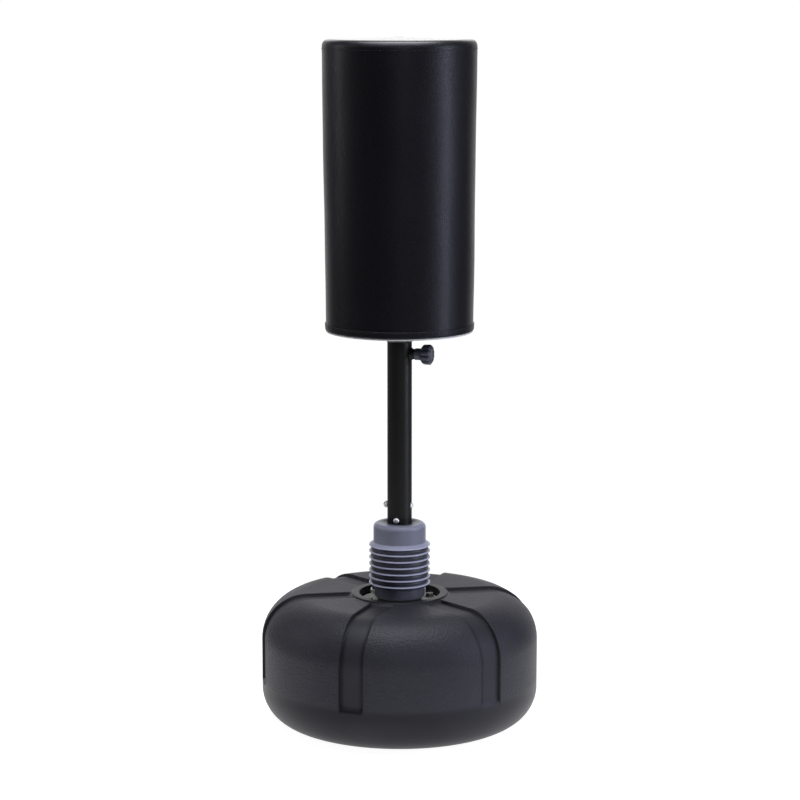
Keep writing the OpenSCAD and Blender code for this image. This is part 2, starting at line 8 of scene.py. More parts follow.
import bpy
import numpy as np
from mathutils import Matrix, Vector

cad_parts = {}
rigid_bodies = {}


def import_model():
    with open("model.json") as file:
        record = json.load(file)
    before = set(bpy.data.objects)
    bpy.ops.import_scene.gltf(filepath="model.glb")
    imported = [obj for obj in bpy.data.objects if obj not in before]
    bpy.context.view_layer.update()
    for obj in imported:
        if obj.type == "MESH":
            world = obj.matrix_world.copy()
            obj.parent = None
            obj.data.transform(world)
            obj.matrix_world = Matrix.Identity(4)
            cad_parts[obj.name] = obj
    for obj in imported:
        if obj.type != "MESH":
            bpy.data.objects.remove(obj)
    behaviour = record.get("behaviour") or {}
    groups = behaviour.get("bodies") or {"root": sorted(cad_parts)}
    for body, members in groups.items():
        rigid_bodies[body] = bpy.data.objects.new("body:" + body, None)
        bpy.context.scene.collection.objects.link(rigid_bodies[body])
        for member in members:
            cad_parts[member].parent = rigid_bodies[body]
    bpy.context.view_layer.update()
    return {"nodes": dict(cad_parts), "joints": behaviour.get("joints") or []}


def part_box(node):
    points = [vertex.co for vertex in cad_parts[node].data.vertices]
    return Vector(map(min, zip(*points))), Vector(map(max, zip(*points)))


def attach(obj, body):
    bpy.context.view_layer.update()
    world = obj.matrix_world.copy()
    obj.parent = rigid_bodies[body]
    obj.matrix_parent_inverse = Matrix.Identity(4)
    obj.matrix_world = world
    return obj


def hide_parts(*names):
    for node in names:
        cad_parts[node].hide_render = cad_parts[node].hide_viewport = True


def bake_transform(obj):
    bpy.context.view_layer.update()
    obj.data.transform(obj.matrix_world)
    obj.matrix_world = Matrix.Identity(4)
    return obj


bl_info = {
    "name": "Training bag looks",
    "version": (1, 0, 0),
    "blender": (4, 5, 0),
    "location": "View3D > Sidebar > Training bag",
    "description": "Makes the surfaces, finishes and studio of a free-standing training bag",
    "category": "Object",
}

for leftover in list(bpy.data.objects):
    bpy.data.objects.remove(leftover)
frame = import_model()

TURN = 2 * math.pi
MM = 0.001
STITCH_PITCH = 1.35  # distance from one stitch to the next, in lengths of a stitch
STITCH_W = 0.8 * MM


def low(node):
    """Lowest corner of a node of the frame."""
    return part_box(node)[0]


def high(node):
    """Highest corner of a node of the frame."""
    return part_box(node)[1]


# ------------------------------------------------------------------ properties


def size(name, description, default):
    """A length the user may change, in metres."""
    return bpy.props.FloatProperty(
        name=name, description=description, default=default, min=0.0, unit="LENGTH",
        subtype="DISTANCE", precision=4)


def turn(name, description, degrees):
    """An angle the user may change."""
    return bpy.props.FloatProperty(
        name=name, description=description, default=math.radians(degrees), unit="ROTATION",
        subtype="ANGLE")


def share(name, description, default, top=1.0):
    """A plain number from nought to top."""
    return bpy.props.FloatProperty(
        name=name, description=description, default=default, min=0.0, max=top, subtype="FACTOR")


def tint(name, description, default):
    """A linear colour the user may change."""
    return bpy.props.FloatVectorProperty(
        name=name, description=description, default=default, size=3, min=0.0, max=1.0,
        subtype="COLOR")


def count(name, description, default):
    """A whole number the user may change."""
    return bpy.props.IntProperty(name=name, description=description, default=default, min=1)


class TankShape(bpy.types.PropertyGroup):
    """Sizes of the moulded tank and its filler cap."""

    turn: turn("Turn", "Turn of the tank about the mast", -3.5)
    channels: count("Channels", "Number of channels round the tank", 6)
    channel_w: size("Channel width", "Width between the middles of a channel's walls", 41 * MM)
    channel_depth: size("Channel depth", "Depth of a channel below the pads", 4.6 * MM)
    channel_wall: size("Channel wall", "Width of a channel's sloping wall", 3.4 * MM)
    channel_end: size("Channel end", "Height of a channel's lower end", 78 * MM)
    well_r: size("Well radius", "Radius of the well in the top", 69 * MM)
    ring_r: size("Ring radius", "Outer radius of the raised ring", 83 * MM)
    ring_h: size("Ring height", "Height of the ring above the tank's top", 2.0 * MM)
    ring_round: size("Ring rounding", "Rounding of the ring's two edges", 1.9 * MM)
    top: size("Top", "Height of the tank's top face", 222 * MM)
    lower_round: size("Lower rounding", "Radius of the rounded lower edge", 62 * MM)
    upper_round: size("Shoulder rounding", "Radius of the rounded shoulder", 77 * MM)
    sole_r: size("Sole radius", "Inner radius of the ring that stands on the floor", 120 * MM)
    sole_depth: size("Sole depth", "Depth of the recess in the underside", 6 * MM)
    cap_flutes: count("Cap flutes", "Number of grip flutes round the filler cap", 16)
    cap_flute_depth: size("Flute depth", "Depth of a grip flute", 1.1 * MM)


class NeckShape(bpy.types.PropertyGroup):
    """Sizes of the ribbed boot and the coil inside it."""

    wall: size("Wall", "Wall of the boot", 3.4 * MM)
    band_r: size("Band radius", "Radius of the smooth lower band", 42.8 * MM)
    band_h: size("Band height", "Height of the smooth lower band", 18 * MM)
    groove_r: size("Groove radius", "Radius between two ribs", 47.6 * MM)
    rib_r: size("Rib radius", "Radius at the crest of a rib", 52.4 * MM)
    swell: size("Swell", "Height of the low swell between two ribs", 1.5 * MM)
    ribs: count("Ribs", "Number of ribs", 7)
    collar_r: size("Collar radius", "Radius of the collar", 44.9 * MM)
    collar_h: size("Collar height", "Height of the collar", 33 * MM)
    shoulder: size("Shoulder", "Rounding of the collar's shoulder", 8 * MM)
    coil_r: size("Coil radius", "Mean radius of the coil", 29 * MM)
    wire_r: size("Wire radius", "Radius of the coil's wire", 4.5 * MM)
    coil_turns: count("Turns", "Number of turns of the coil", 7)


class MastShape(bpy.types.PropertyGroup):
    """Sizes of the mast, its bush and its clamp."""

    tube_r: size("Tube radius", "Radius of the mast tube", 21 * MM)
    tube_wall: size("Tube wall", "Wall of the mast tube", 2 * MM)
    bush_r: size("Bush radius", "Radius of the bush's flange", 24.2 * MM)
    bush_h: size("Bush flange", "Height of the bush's flange", 14 * MM)
    knob_r: size("Knob radius", "Radius of the knob's head", 17.4 * MM)
    knob_neck: size("Knob neck", "Radius of the knob's neck", 10 * MM)
    knob_flutes: count("Knob flutes", "Number of flutes round the knob", 10)
    weld: size("Weld", "Radius of the weld bead round the nut", 1.3 * MM)


class BagShape(bpy.types.PropertyGroup):
    """Sizes of the padded bag."""

    bottom_r: size("Bottom radius", "Radius of the bag at its lower end", 124.5 * MM)
    top_r: size("Top radius", "Radius of the bag at its upper end", 130 * MM)
    edge: size("Upper edge", "Rounding of the bag's upper edge", 13 * MM)
    lower_edge: size("Lower edge", "Rounding of the bag's lower edge", 4.0 * MM)
    ripple: size("Ripple", "Height of the soft ripples in the cover", 0.55 * MM)
    swell: size("Swell", "Most that a point of the cover moves as the padding swells", 2.2 * MM)
    pressure: share("Pressure", "Pressure of the padding on the cover", 4.0, 20.0)
    hem_h: size("Hem height", "Height of the hem round the lower edge", 12 * MM)
    welt_r: size("Welt", "Radius of the piping under the hem", 1.8 * MM)
    welt_in: size("Welt inset", "Distance of the piping inside the lower edge", 1.6 * MM)
    welt_drop: size("Welt drop", "Depth of the piping's middle below the cover", 0.9 * MM)
    stitch: size("Stitch", "Length of one stitch", 4.6 * MM)
    seam_w: size("Seam width", "Width of the strip over the back seam", 14 * MM)


class Finishes(bpy.types.PropertyGroup):
    """Colours of the finishes, linear."""

    tank: tint("Tank", "Moulded tank", (0.0086, 0.0084, 0.0112))
    boot: tint("Boot", "Ribbed boot", (0.150, 0.156, 0.214))
    leather: tint("Leather", "Cover of the bag", (0.0038, 0.0033, 0.0050))
    mast: tint("Mast", "Painted tube", (0.0036, 0.0036, 0.0042))
    knob: tint("Knob", "Clamp knob", (0.072, 0.078, 0.105))
    welt: tint("Welt", "Piping under the hem", (0.62, 0.62, 0.64))
    zinc: tint("Zinc", "Plated screws and nuts", (0.90, 0.90, 0.92))
    plate: tint("Plate", "Base plate in the well", (0.33, 0.34, 0.31))


class Studio(bpy.types.PropertyGroup):
    """Camera and lights."""

    azimuth: turn("Azimuth", "Camera's turn from the front towards the knob", 16.5)
    distance: size("Distance", "Camera's distance from the mast's axis", 4.317)
    height: size("Height", "Camera's height above the floor", 1.2887)
    pitch: turn("Pitch", "Camera's tilt below the horizon", 9.6)
    lens: bpy.props.FloatProperty(
        name="Lens", description="Focal length on a 36 mm sensor", default=115.92, unit="CAMERA")


GROUPS = {
    "bag_tank": TankShape,
    "bag_neck": NeckShape,
    "bag_mast": MastShape,
    "bag_bag": BagShape,
    "bag_finish": Finishes,
    "bag_studio": Studio,
}


# ------------------------------------------------------------------ shader maths


class Wire:
    """A socket in a node tree. Arithmetic on it adds Math nodes."""

    def __init__(self, tree, socket):
        self.tree = tree
        self.socket = socket

    def math(self, operation, *others, clamp=False):
        node = self.tree.nodes.new("ShaderNodeMath")
        node.operation = operation
        node.use_clamp = clamp
        for place, term in enumerate((self, *others)):
            plug(self.tree, node.inputs[place], term)
        return Wire(self.tree, node.outputs[0])

    def back(self, operation, other):
        """The operation with the other term first."""
        node = self.tree.nodes.new("ShaderNodeMath")
        node.operation = operation
        plug(self.tree, node.inputs[0], other)
        plug(self.tree, node.inputs[1], self)
        return Wire(self.tree, node.outputs[0])

    def __add__(self, other):
        return self.math("ADD", other)

    __radd__ = __add__

    def __sub__(self, other):
        return self.math("SUBTRACT", other)

    def __rsub__(self, other):
        return self.back("SUBTRACT", other)

    def __mul__(self, other):
        return self.math("MULTIPLY", other)

    __rmul__ = __mul__

    def __truediv__(self, other):
        return self.math("DIVIDE", other)

    def __rtruediv__(self, other):
        return self.back("DIVIDE", other)

    def __pow__(self, other):
        return self.math("POWER", other)

    def __neg__(self):
        return self.math("MULTIPLY", -1.0)

    def held(self):
        """Held between nought and one."""
        return self.math("ADD", 0.0, clamp=True)

    def ramp(self, start, end, first=0.0, last=1.0):
        """first below start, last above end, and a smooth step between."""
        node = self.tree.nodes.new("ShaderNodeMapRange")
        node.interpolation_type = "SMOOTHSTEP"
        for place, term in enumerate((self, start, end, first, last)):
            plug(self.tree, node.inputs[place], term)
        return Wire(self.tree, node.outputs[0])


def plug(tree, socket, term):
    """Links a Wire to a socket, or sets a number or a colour on it."""
    if isinstance(term, Wire):
        tree.links.new(term.socket, socket)
    elif hasattr(term, "__len__") and len(term) == 3 and len(socket.default_value) == 4:
        socket.default_value = (*term, 1.0)
    else:
        socket.default_value = term


class Finish:
    """A material under way: a tree, its shader, and ways to add nodes."""

    def __init__(self, name, **constants):
        self.material = bpy.data.materials.new(name)
        self.material.use_nodes = True
        self.tree = self.material.node_tree
        self.shader = self.tree.nodes["Principled BSDF"]
        self.feed(**{name.replace("_", " "): value for name, value in constants.items()})

    def add(self, kind, settings=None, inputs=None, output=0):
        """One node: its type, its settings, the values or links of its sockets, and the output."""
        node = self.tree.nodes.new(kind)
        for name, value in (settings or {}).items():
            setattr(node, name, value)
        for name, value in (inputs or {}).items():
            plug(self.tree, node.inputs[name], value)
        return Wire(self.tree, node.outputs[output])

    def feed(self, **inputs):
        """Sets or links sockets of the shader by name."""
        for name, value in inputs.items():
            plug(self.tree, self.shader.inputs[name], value)

    def place(self, scale=(1.0, 1.0, 1.0), centre=(0.0, 0.0, 0.0)):
        """Object coordinates, scaled, from centre."""
        spot = self.add("ShaderNodeTexCoord", output="Object")
        return self.add("ShaderNodeMapping", {}, {
            "Vector": spot, "Scale": scale,
            "Location": tuple(-c * s for c, s in zip(centre, scale))})

    def part(self, vector, axis):
        """One component of a vector."""
        return self.add("ShaderNodeSeparateXYZ", {}, {"Vector": vector}, axis)

    def noise(self, vector, scale, detail=3.0, rough=0.55):
        """Fractal noise from nought to one, scale per metre."""
        return self.add("ShaderNodeTexNoise", {}, {
            "Vector": vector, "Scale": scale, "Detail": detail, "Roughness": rough}, "Fac")

    def cells(self, vector, scale, feature="F1", smooth=None):
        """Distance in a cell pattern, scale per metre."""
        inputs = {"Vector": vector, "Scale": scale}
        if smooth is not None:
            inputs["Smoothness"] = smooth
        return self.add("ShaderNodeTexVoronoi", {"feature": feature}, inputs, "Distance")

    def mark(self, name):
        """A point attribute of the piece, nought on a piece that has none of that name."""
        return self.add("ShaderNodeAttribute", {"attribute_name": name}, {}, "Fac")

    def mix(self, part, first, second):
        """first at nought, second at one, for colours, whose sockets come after the numbers'."""
        factor, colour_a, colour_b, colour_out = 0, 6, 7, 2
        return self.add("ShaderNodeMix", {"data_type": "RGBA"}, {
            factor: part, colour_a: first, colour_b: second}, colour_out)

    def bump(self, height, distance, strength=1.0):
        """Links a height, in shares of distance, to the shader's normal."""
        self.feed(Normal=self.add("ShaderNodeBump", {}, {
            "Height": height, "Distance": distance, "Strength": strength}, "Normal"))


def shade(colour, factor):
    """A colour times a number, worked out here."""
    return tuple(min(1.0, c * factor) for c in colour)


# ------------------------------------------------------------------ finishes


def moulded_plastic(name, colour, grain, roughness, pads=False, specular=0.26):
    """Black moulded polyethylene: cloudy tone, faint flow marks and a pebble grain.

    With pads the grain follows the piece's 'pad' attribute, and otherwise it is even and weaker.
    The pads and, by the 'trench' attribute, the channel floors also get a lighter tone than the
    lower body: painted light from above. 'trench' also makes the floors rougher. The 'rim'
    attribute paints shade into the channels' corners."""
    skin_ = Finish(name, Specular_IOR_Level=specular, Specular_Tint=(0.86, 0.87, 1.0, 1.0))
    spot = skin_.place()
    cloud = skin_.noise(spot, 7.0, 4.0)
    fine = skin_.noise(spot, 420.0, 3.0)
    pebble = skin_.cells(spot, 270.0, "SMOOTH_F1", 0.6)
    fleck = skin_.noise(spot, 95.0, 2.0).ramp(0.56, 0.72)
    rim, trench = skin_.mark("rim"), skin_.mark("trench")
    even_grain = 0.35
    pad = skin_.mark("pad") if pads else even_grain
    # painted light: the pads and channel floors get a lighter tone than the lower body, as if lit from
    # above
    painted_upper_light = (pad + trench * 0.8).held()
    tone = (cloud.ramp(0.3, 0.7) * 0.22 + painted_upper_light * 0.35 + fleck * pad * 0.12 + fine * painted_upper_light * 0.55).held()
    tone_colour = skin_.mix(tone, shade(colour, 0.6), shade(colour, 3.3))
    # painted shade: the 'rim' mark darkens the channels' corners towards near-black
    skin_.feed(**{"Base Color": skin_.mix(rim * 0.85, tone_colour, shade(colour, 0.15))})
    skin_.feed(Roughness=(roughness + 0.10 * fine + 0.07 * pad + 0.10 * trench - 0.10 * cloud).held())
    height = (1.0 - pebble) * pad * grain + fine * 0.12 + fine * pad * 0.25
    skin_.bump(height, 1.1 * MM, 0.6)
    return skin_.material


def boot_rubber(colour):
    """Blue-grey rubber: painted highlight on the crests and painted shade in the folds, from the
    'crest' attribute, fine moulded grain.
    """
    skin_ = Finish("boot_rubber", Specular_IOR_Level=0.42)
    spot = skin_.place()
    cloud = skin_.noise(spot, 22.0, 4.0)
    fine = skin_.noise(spot, 900.0, 2.0)
    crest = skin_.mark("crest")
    # painted light from the 'crest' mark: light on the crests, flare and shoulder, dark in the folds
    painted_light = (crest * 0.92 + cloud.ramp(0.35, 0.75) * 0.08).held()
    skin_.feed(**{"Base Color": skin_.mix(painted_light, shade(colour, 0.27), shade(colour, 3.3))})
    skin_.feed(Roughness=(0.40 + 0.12 * fine - 0.12 * crest).held())
    skin_.bump(fine * 0.6 + cloud * 0.5, 0.25 * MM, 0.4)
    return skin_.material


def leather(name, colour, roughness=0.40, pebble=420.0):
    """Coated leather: rounded cells with creases between them, pores, and a worn, uneven sheen.

    The 'crown' attribute makes the top panel glossier."""
    skin_ = Finish(name, Specular_IOR_Level=0.30, Coat_Roughness=0.30,
                   Specular_Tint=(0.82, 0.83, 1.0, 1.0))
    spot = skin_.place()
    bend = 2.2 * MM
    sway = skin_.add("ShaderNodeVectorMath", {"operation": "MULTIPLY_ADD"}, {
        0: skin_.add("ShaderNodeTexNoise", {}, {"Vector": spot, "Scale": 160.0}, "Color"),
        1: (bend, bend, bend), 2: spot})
    cell = skin_.cells(sway, pebble, "SMOOTH_F1", 0.35)
    crease = skin_.cells(sway, pebble, "DISTANCE_TO_EDGE").ramp(0.0, 0.16)
    cloud = skin_.noise(spot, 5.5, 4.0)
    pore = skin_.noise(spot, 1900.0, 2.0)
    tone = (crease * 0.45 + cloud * 0.4 + (1.0 - cell) * 0.25).held()
    skin_.feed(**{"Base Color": skin_.mix(tone, shade(colour, 0.5), shade(colour, 1.5))})
    crown = skin_.mark("crown")
    rough = roughness - 0.06 + 0.14 * (1.0 - crease) + 0.12 * cloud - 0.34 * crown
    skin_.feed(Roughness=rough.held())
    skin_.feed(**{"Coat Weight": (0.04 + 0.09 * cloud + 0.8 * crown).held()})
    skin_.bump(crease * 0.6 + (1.0 - cell) * 0.55 + pore * 0.12, 0.16 * MM, 0.5)
    return skin_.material


def paint(name, colour, roughness=0.22, coat=0.6, peel=0.16):
    """Baked paint over steel: orange peel, a few dull rubbed patches."""
    skin_ = Finish(name, Coat_Roughness=0.22, Specular_IOR_Level=0.36)
    spot = skin_.place()
    wave = skin_.noise(spot, 210.0, 2.0)
    cloud = skin_.noise(spot, 9.0, 5.0)
    rub = cloud.ramp(0.58, 0.74)
    skin_.feed(**{"Base Color": skin_.mix(rub, colour, shade(colour, 1.6))})
    skin_.feed(Roughness=(roughness + 0.16 * rub + 0.05 * wave).held())
    skin_.feed(**{"Coat Weight": (coat - 0.3 * rub).held()})
    skin_.bump(wave, peel * MM, 0.22)
    return skin_.material


def plated(name, colour, roughness=0.26, tarnish=(0.30, 0.29, 0.27)):
    """Bright plating: fine brushed lines, cloudy tarnish."""
    skin_ = Finish(name, Metallic=1.0)
    spot = skin_.place()
    line = skin_.noise(skin_.place((1.0, 1.0, 14.0)), 380.0, 2.0)
    cloud = skin_.noise(spot, 60.0, 4.0)
    dull = cloud.ramp(0.45, 0.75)
    skin_.feed(**{"Base Color": skin_.mix(dull * 0.55, colour, tarnish)})
    skin_.feed(Roughness=(roughness + 0.16 * dull + 0.10 * line).held())
    skin_.bump(line, 0.04 * MM, 0.3)
    return skin_.material


def knob_plastic(colour):
    """Soft-touch moulded grip: fine spark grain, lighter where hands rub it."""
    skin_ = Finish("knob_plastic", Specular_IOR_Level=0.4)
    spot = skin_.place()
    spark = skin_.noise(spot, 1500.0, 2.0)
    cloud = skin_.noise(spot, 60.0, 4.0)
    rubbed = cloud.ramp(0.3, 0.75)
    skin_.feed(**{"Base Color": skin_.mix(rubbed, shade(colour, 0.75), shade(colour, 1.35))})
    skin_.feed(Roughness=(0.40 + 0.18 * spark).held())
    skin_.bump(spark, 0.10 * MM, 0.4)
    return skin_.material


def fibre_board(name, colour):
    """Pressed board or card: short pale and dark fibres, rough."""
    skin_ = Finish(name, Specular_IOR_Level=0.25)
    fibre = skin_.noise(skin_.place((1.0, 1.0, 5.0)), 520.0, 4.0)
    cloud = skin_.noise(skin_.place(), 34.0, 3.0)
    pale = (fibre * 0.7 + cloud * 0.3).ramp(0.35, 0.68)
    skin_.feed(**{"Base Color": skin_.mix(pale, shade(colour, 0.62), shade(colour, 1.25))})
    skin_.feed(Roughness=(0.72 + 0.2 * fibre).held())
    skin_.bump(fibre, 0.25 * MM, 0.5)
    return skin_.material


def open_foam(colour):
    """Open foam: small round pores, soft tone."""
    skin_ = Finish("foam", Specular_IOR_Level=0.2)
    spot = skin_.place()
    pore = skin_.cells(spot, 700.0)
    cloud = skin_.noise(spot, 24.0, 3.0)
    skin_.feed(**{"Base Color": skin_.mix(pore.ramp(0.15, 0.6), shade(colour, 0.55), colour)})
    skin_.feed(Roughness=(0.80 + 0.15 * cloud).held())
    skin_.bump(pore, 0.4 * MM, 0.6)
    return skin_.material


def thread(colour):
    """Twisted sewing thread: slanting strands."""
    skin_ = Finish("thread", Specular_IOR_Level=0.35)
    strand = skin_.add("ShaderNodeTexWave", {"bands_direction": "DIAGONAL"}, {
        "Vector": skin_.place(), "Scale": 650.0, "Distortion": 1.0}, "Fac")
    skin_.feed(**{"Base Color": skin_.mix(strand, shade(colour, 0.6), shade(colour, 1.5))})
    skin_.feed(Roughness=(0.55 + 0.15 * strand).held())
    skin_.bump(strand, 0.1 * MM, 0.5)
    return skin_.material


FINISH = {}


def paint_nodes(material, *nodes):
    """Puts a material on every slot of frame nodes that stay as they are."""
    for name in nodes:
        held = frame["nodes"][name]
        if not held.material_slots:
            held.data.materials.append(material)
        for slot in held.material_slots:
            slot.material = material


# ------------------------------------------------------------------ surfaces


def smooth_step(x, start, end):
    """Nought below start, one above end, 3t^2 - 2t^3 between."""
    t = np.clip((np.asarray(x, float) - start) / (end - start), 0.0, 1.0)
    return t * t * (3.0 - 2.0 * t)


def rounded(corners, steps=7):
    """A line through corners (x, y, radius), each corner replaced by an arc of its radius.

    The arc touches both sides at radius / tan(half the corner's angle) from the corner."""
    corners = np.asarray(corners, float)
    out = [corners[:1, :2]]
    for before, here, after in zip(corners[:-2], corners[1:-1], corners[2:]):
        a = before[:2] - here[:2]
        b = after[:2] - here[:2]
        a, b = a / np.linalg.norm(a), b / np.linalg.norm(b)
        half = math.acos(max(-1.0, min(1.0, float(a @ b)))) / 2
        if here[2] <= 0.0 or half > math.radians(89.5):
            out.append(here[None, :2])
            continue
        reach = here[2] / math.tan(half)
        middle = here[:2] + (a + b) / np.linalg.norm(a + b) * here[2] / math.sin(half)
        first, last = here[:2] + a * reach - middle, here[:2] + b * reach - middle
        start = math.atan2(first[1], first[0])
        sweep = (math.atan2(last[1], last[0]) - start + math.pi) % TURN - math.pi
        angle = start + sweep * np.linspace(0.0, 1.0, steps)
        out.append(middle + here[2] * np.stack([np.cos(angle), np.sin(angle)], 1))
    out.append(corners[-1:, :2])
    return np.concatenate(out)


def arc(centre, radius, start, end, steps):
    """Points centre + radius (cos a, sin a), a from start to end in degrees."""
    angle = np.radians(np.linspace(start, end, steps))
    return np.asarray(centre, float) + radius * np.stack([np.cos(angle), np.sin(angle)], 1)


def filled(line, gap):
    """The same line with points added so that no stretch is longer than gap."""
    line = np.asarray(line, float)
    run = np.concatenate([[0.0], np.cumsum(np.linalg.norm(np.diff(line, axis=0), axis=1))])
    keep = np.concatenate([[True], np.diff(run) > 1e-7])
    line, run = line[keep], run[keep]
    extra = np.linspace(0.0, run[-1], int(run[-1] / gap) + 2)
    near = np.abs(extra[:, None] - run[None, :]).min(1)
    at = np.sort(np.concatenate([run, extra[near > 0.35 * gap]]))
    return np.stack([np.interp(at, run, line[:, 0]), np.interp(at, run, line[:, 1])], 1)


def signed_volume(triangles):
    """Six times the volume inside triangles (n, corners, 3): the sum of p0 . (p1 x p2)."""
    crossed = np.cross(triangles[:, 1], triangles[:, 2])
    return np.einsum("ij,ij->i", triangles[:, 0], crossed).sum()


def mesh_piece(name, spots, faces):
    """A smooth-shaded object of points and faces, linked to the scene."""
    mesh = bpy.data.meshes.new(name)
    mesh.from_pydata(spots.tolist(), [], faces)
    mesh.shade_smooth()
    piece = bpy.data.objects.new(name, mesh)
    bpy.context.scene.collection.objects.link(piece)
    return piece


def skin(name, points, start=None, end=None, loop=False, attributes=None):
    """A closed mesh over a grid of points (rows, columns, 3) whose columns run round.

    Rows are joined to the next one; start and end are pole points that close the first and last
    row, and loop joins the last row to the first. Faces are turned outwards by the signed volume.
    attributes holds arrays of one value for each grid point, and poles get nought."""
    rows, columns = points.shape[:2]
    index = np.arange(rows * columns).reshape(rows, columns)
    rings = np.concatenate([index, index[:1]]) if loop else index
    a, b = rings[:-1], rings[1:]
    quads = np.stack([a, np.roll(a, -1, 1), np.roll(b, -1, 1), b], -1).reshape(-1, 4)
    spots = points.reshape(-1, 3)
    tris = []
    for pole, ring, order in ((start, index[0], -1), (end, index[-1], 1)):
        if pole is None:
            continue
        spots = np.concatenate([spots, np.asarray(pole, float)[None]])
        tip = np.full(columns, len(spots) - 1)
        ring = ring[::order]
        tris.append(np.stack([ring, np.roll(ring, -1), tip], 1))
    fans = np.concatenate(tris) if tris else np.zeros((0, 3), int)
    split = np.concatenate([quads[:, [0, 1, 2]], quads[:, [0, 2, 3]], fans])
    if signed_volume(spots[split]) < 0:
        quads, fans = quads[:, ::-1], fans[:, ::-1]
    piece = mesh_piece(name, spots, quads.tolist() + fans.tolist())
    for label, values in (attributes or {}).items():
        full = np.zeros(len(spots), np.float32)
        full[:rows * columns] = np.asarray(values, np.float32).reshape(-1)
        piece.data.attributes.new(label, "FLOAT", "POINT").data.foreach_set("value", full)
    return piece


def turned(name, profile, columns=96, attributes=None, loop=False, lobes=None, frame_of=None):
    """A profile of (radius, height) turned about an axis: (r cos t, r sin t, h).

    lobes, if given, is a function of (radius, height, t) that returns the radius there. A profile
    that starts or ends on the axis is closed there by a pole. frame_of moves the axis."""
    profile = np.asarray(profile, float)
    start = end = None
    if not loop and profile[0, 0] < 1e-7:
        start, profile = np.array([0.0, 0.0, profile[0, 1]]), profile[1:]
    if not loop and profile[-1, 0] < 1e-7:
        end, profile = np.array([0.0, 0.0, profile[-1, 1]]), profile[:-1]
    t = TURN * np.arange(columns) / columns
    r, h = profile[:, :1], profile[:, 1:]
    r = r + 0.0 * t if lobes is None else lobes(r, h, t)
    points = np.stack([r * np.cos(t), r * np.sin(t), h + 0.0 * t], -1)
    if frame_of is not None:
        points = frame_of(points)
        start = None if start is None else frame_of(start)
        end = None if end is None else frame_of(end)
    made = None if attributes is None else {
        k: f(profile[:, :1] + 0.0 * t, h + 0.0 * t, t) for k, f in attributes.items()}
    return skin(name, points, start, end, loop, made)


def carried(name, path, radius, sides=12, up=(0.0, 0.0, 1.0), closed=False):
    """A round section of a radius carried along a path: path + radius (n cos w + b sin w).

    n and b are square to the path's own direction, found from the up vector. An open path is
    closed by a pole at each end."""
    path = np.asarray(path, float)
    if closed:
        along = np.roll(path, -1, 0) - np.roll(path, 1, 0)
    else:
        along = np.gradient(path, axis=0)
    along /= np.linalg.norm(along, axis=1)[:, None]
    n = np.cross(along, np.asarray(up, float))
    n /= np.linalg.norm(n, axis=1)[:, None]
    b = np.cross(along, n)
    w = TURN * np.arange(sides) / sides
    radius = np.broadcast_to(np.asarray(radius, float), (len(path),))[:, None, None]
    points = path[:, None] + radius * (
        n[:, None] * np.cos(w)[None, :, None] + b[:, None] * np.sin(w)[None, :, None])
    ends = (None, None) if closed else (path[0], path[-1])
    return skin(name, points, *ends, loop=closed)


def along_x(x0, z0):
    """Carries a turned piece's axis onto the X direction through (x0, 0, z0)."""
    def move(p):
        p = np.asarray(p, float)
        return np.stack([x0 + p[..., 2], p[..., 0], z0 + p[..., 1]], -1)
    return move


def shifted(x0, y0, angle=0.0):
    """Carries a turned piece to (x0, y0), turned by angle about its own axis."""
    c, s = math.cos(angle), math.sin(angle)

    def move(p):
        p = np.asarray(p, float)
        return np.stack([x0 + c * p[..., 0] - s * p[..., 1], y0 + s * p[..., 0] + c * p[..., 1],
                         p[..., 2]], -1)
    return move


def joined(name, pieces):
    """One mesh from several pieces, which are removed."""
    kept = []
    spots, faces, base = [], [], 0
    for piece in pieces:
        mesh = piece.data
        co = np.zeros(len(mesh.vertices) * 3)
        mesh.vertices.foreach_get("co", co)
        loops = np.zeros(len(mesh.loops), int)
        mesh.loops.foreach_get("vertex_index", loops)
        first = np.zeros(len(mesh.polygons), int)
        mesh.polygons.foreach_get("loop_start", first)
        spots.append(co.reshape(-1, 3))
        faces.extend(map(list, np.split(loops + base, first[1:])))
        base += len(mesh.vertices)
        kept.append(mesh)
        bpy.data.objects.remove(piece)
    piece = mesh_piece(name, np.concatenate(spots), faces)
    for old in kept:
        bpy.data.meshes.remove(old)
    return piece


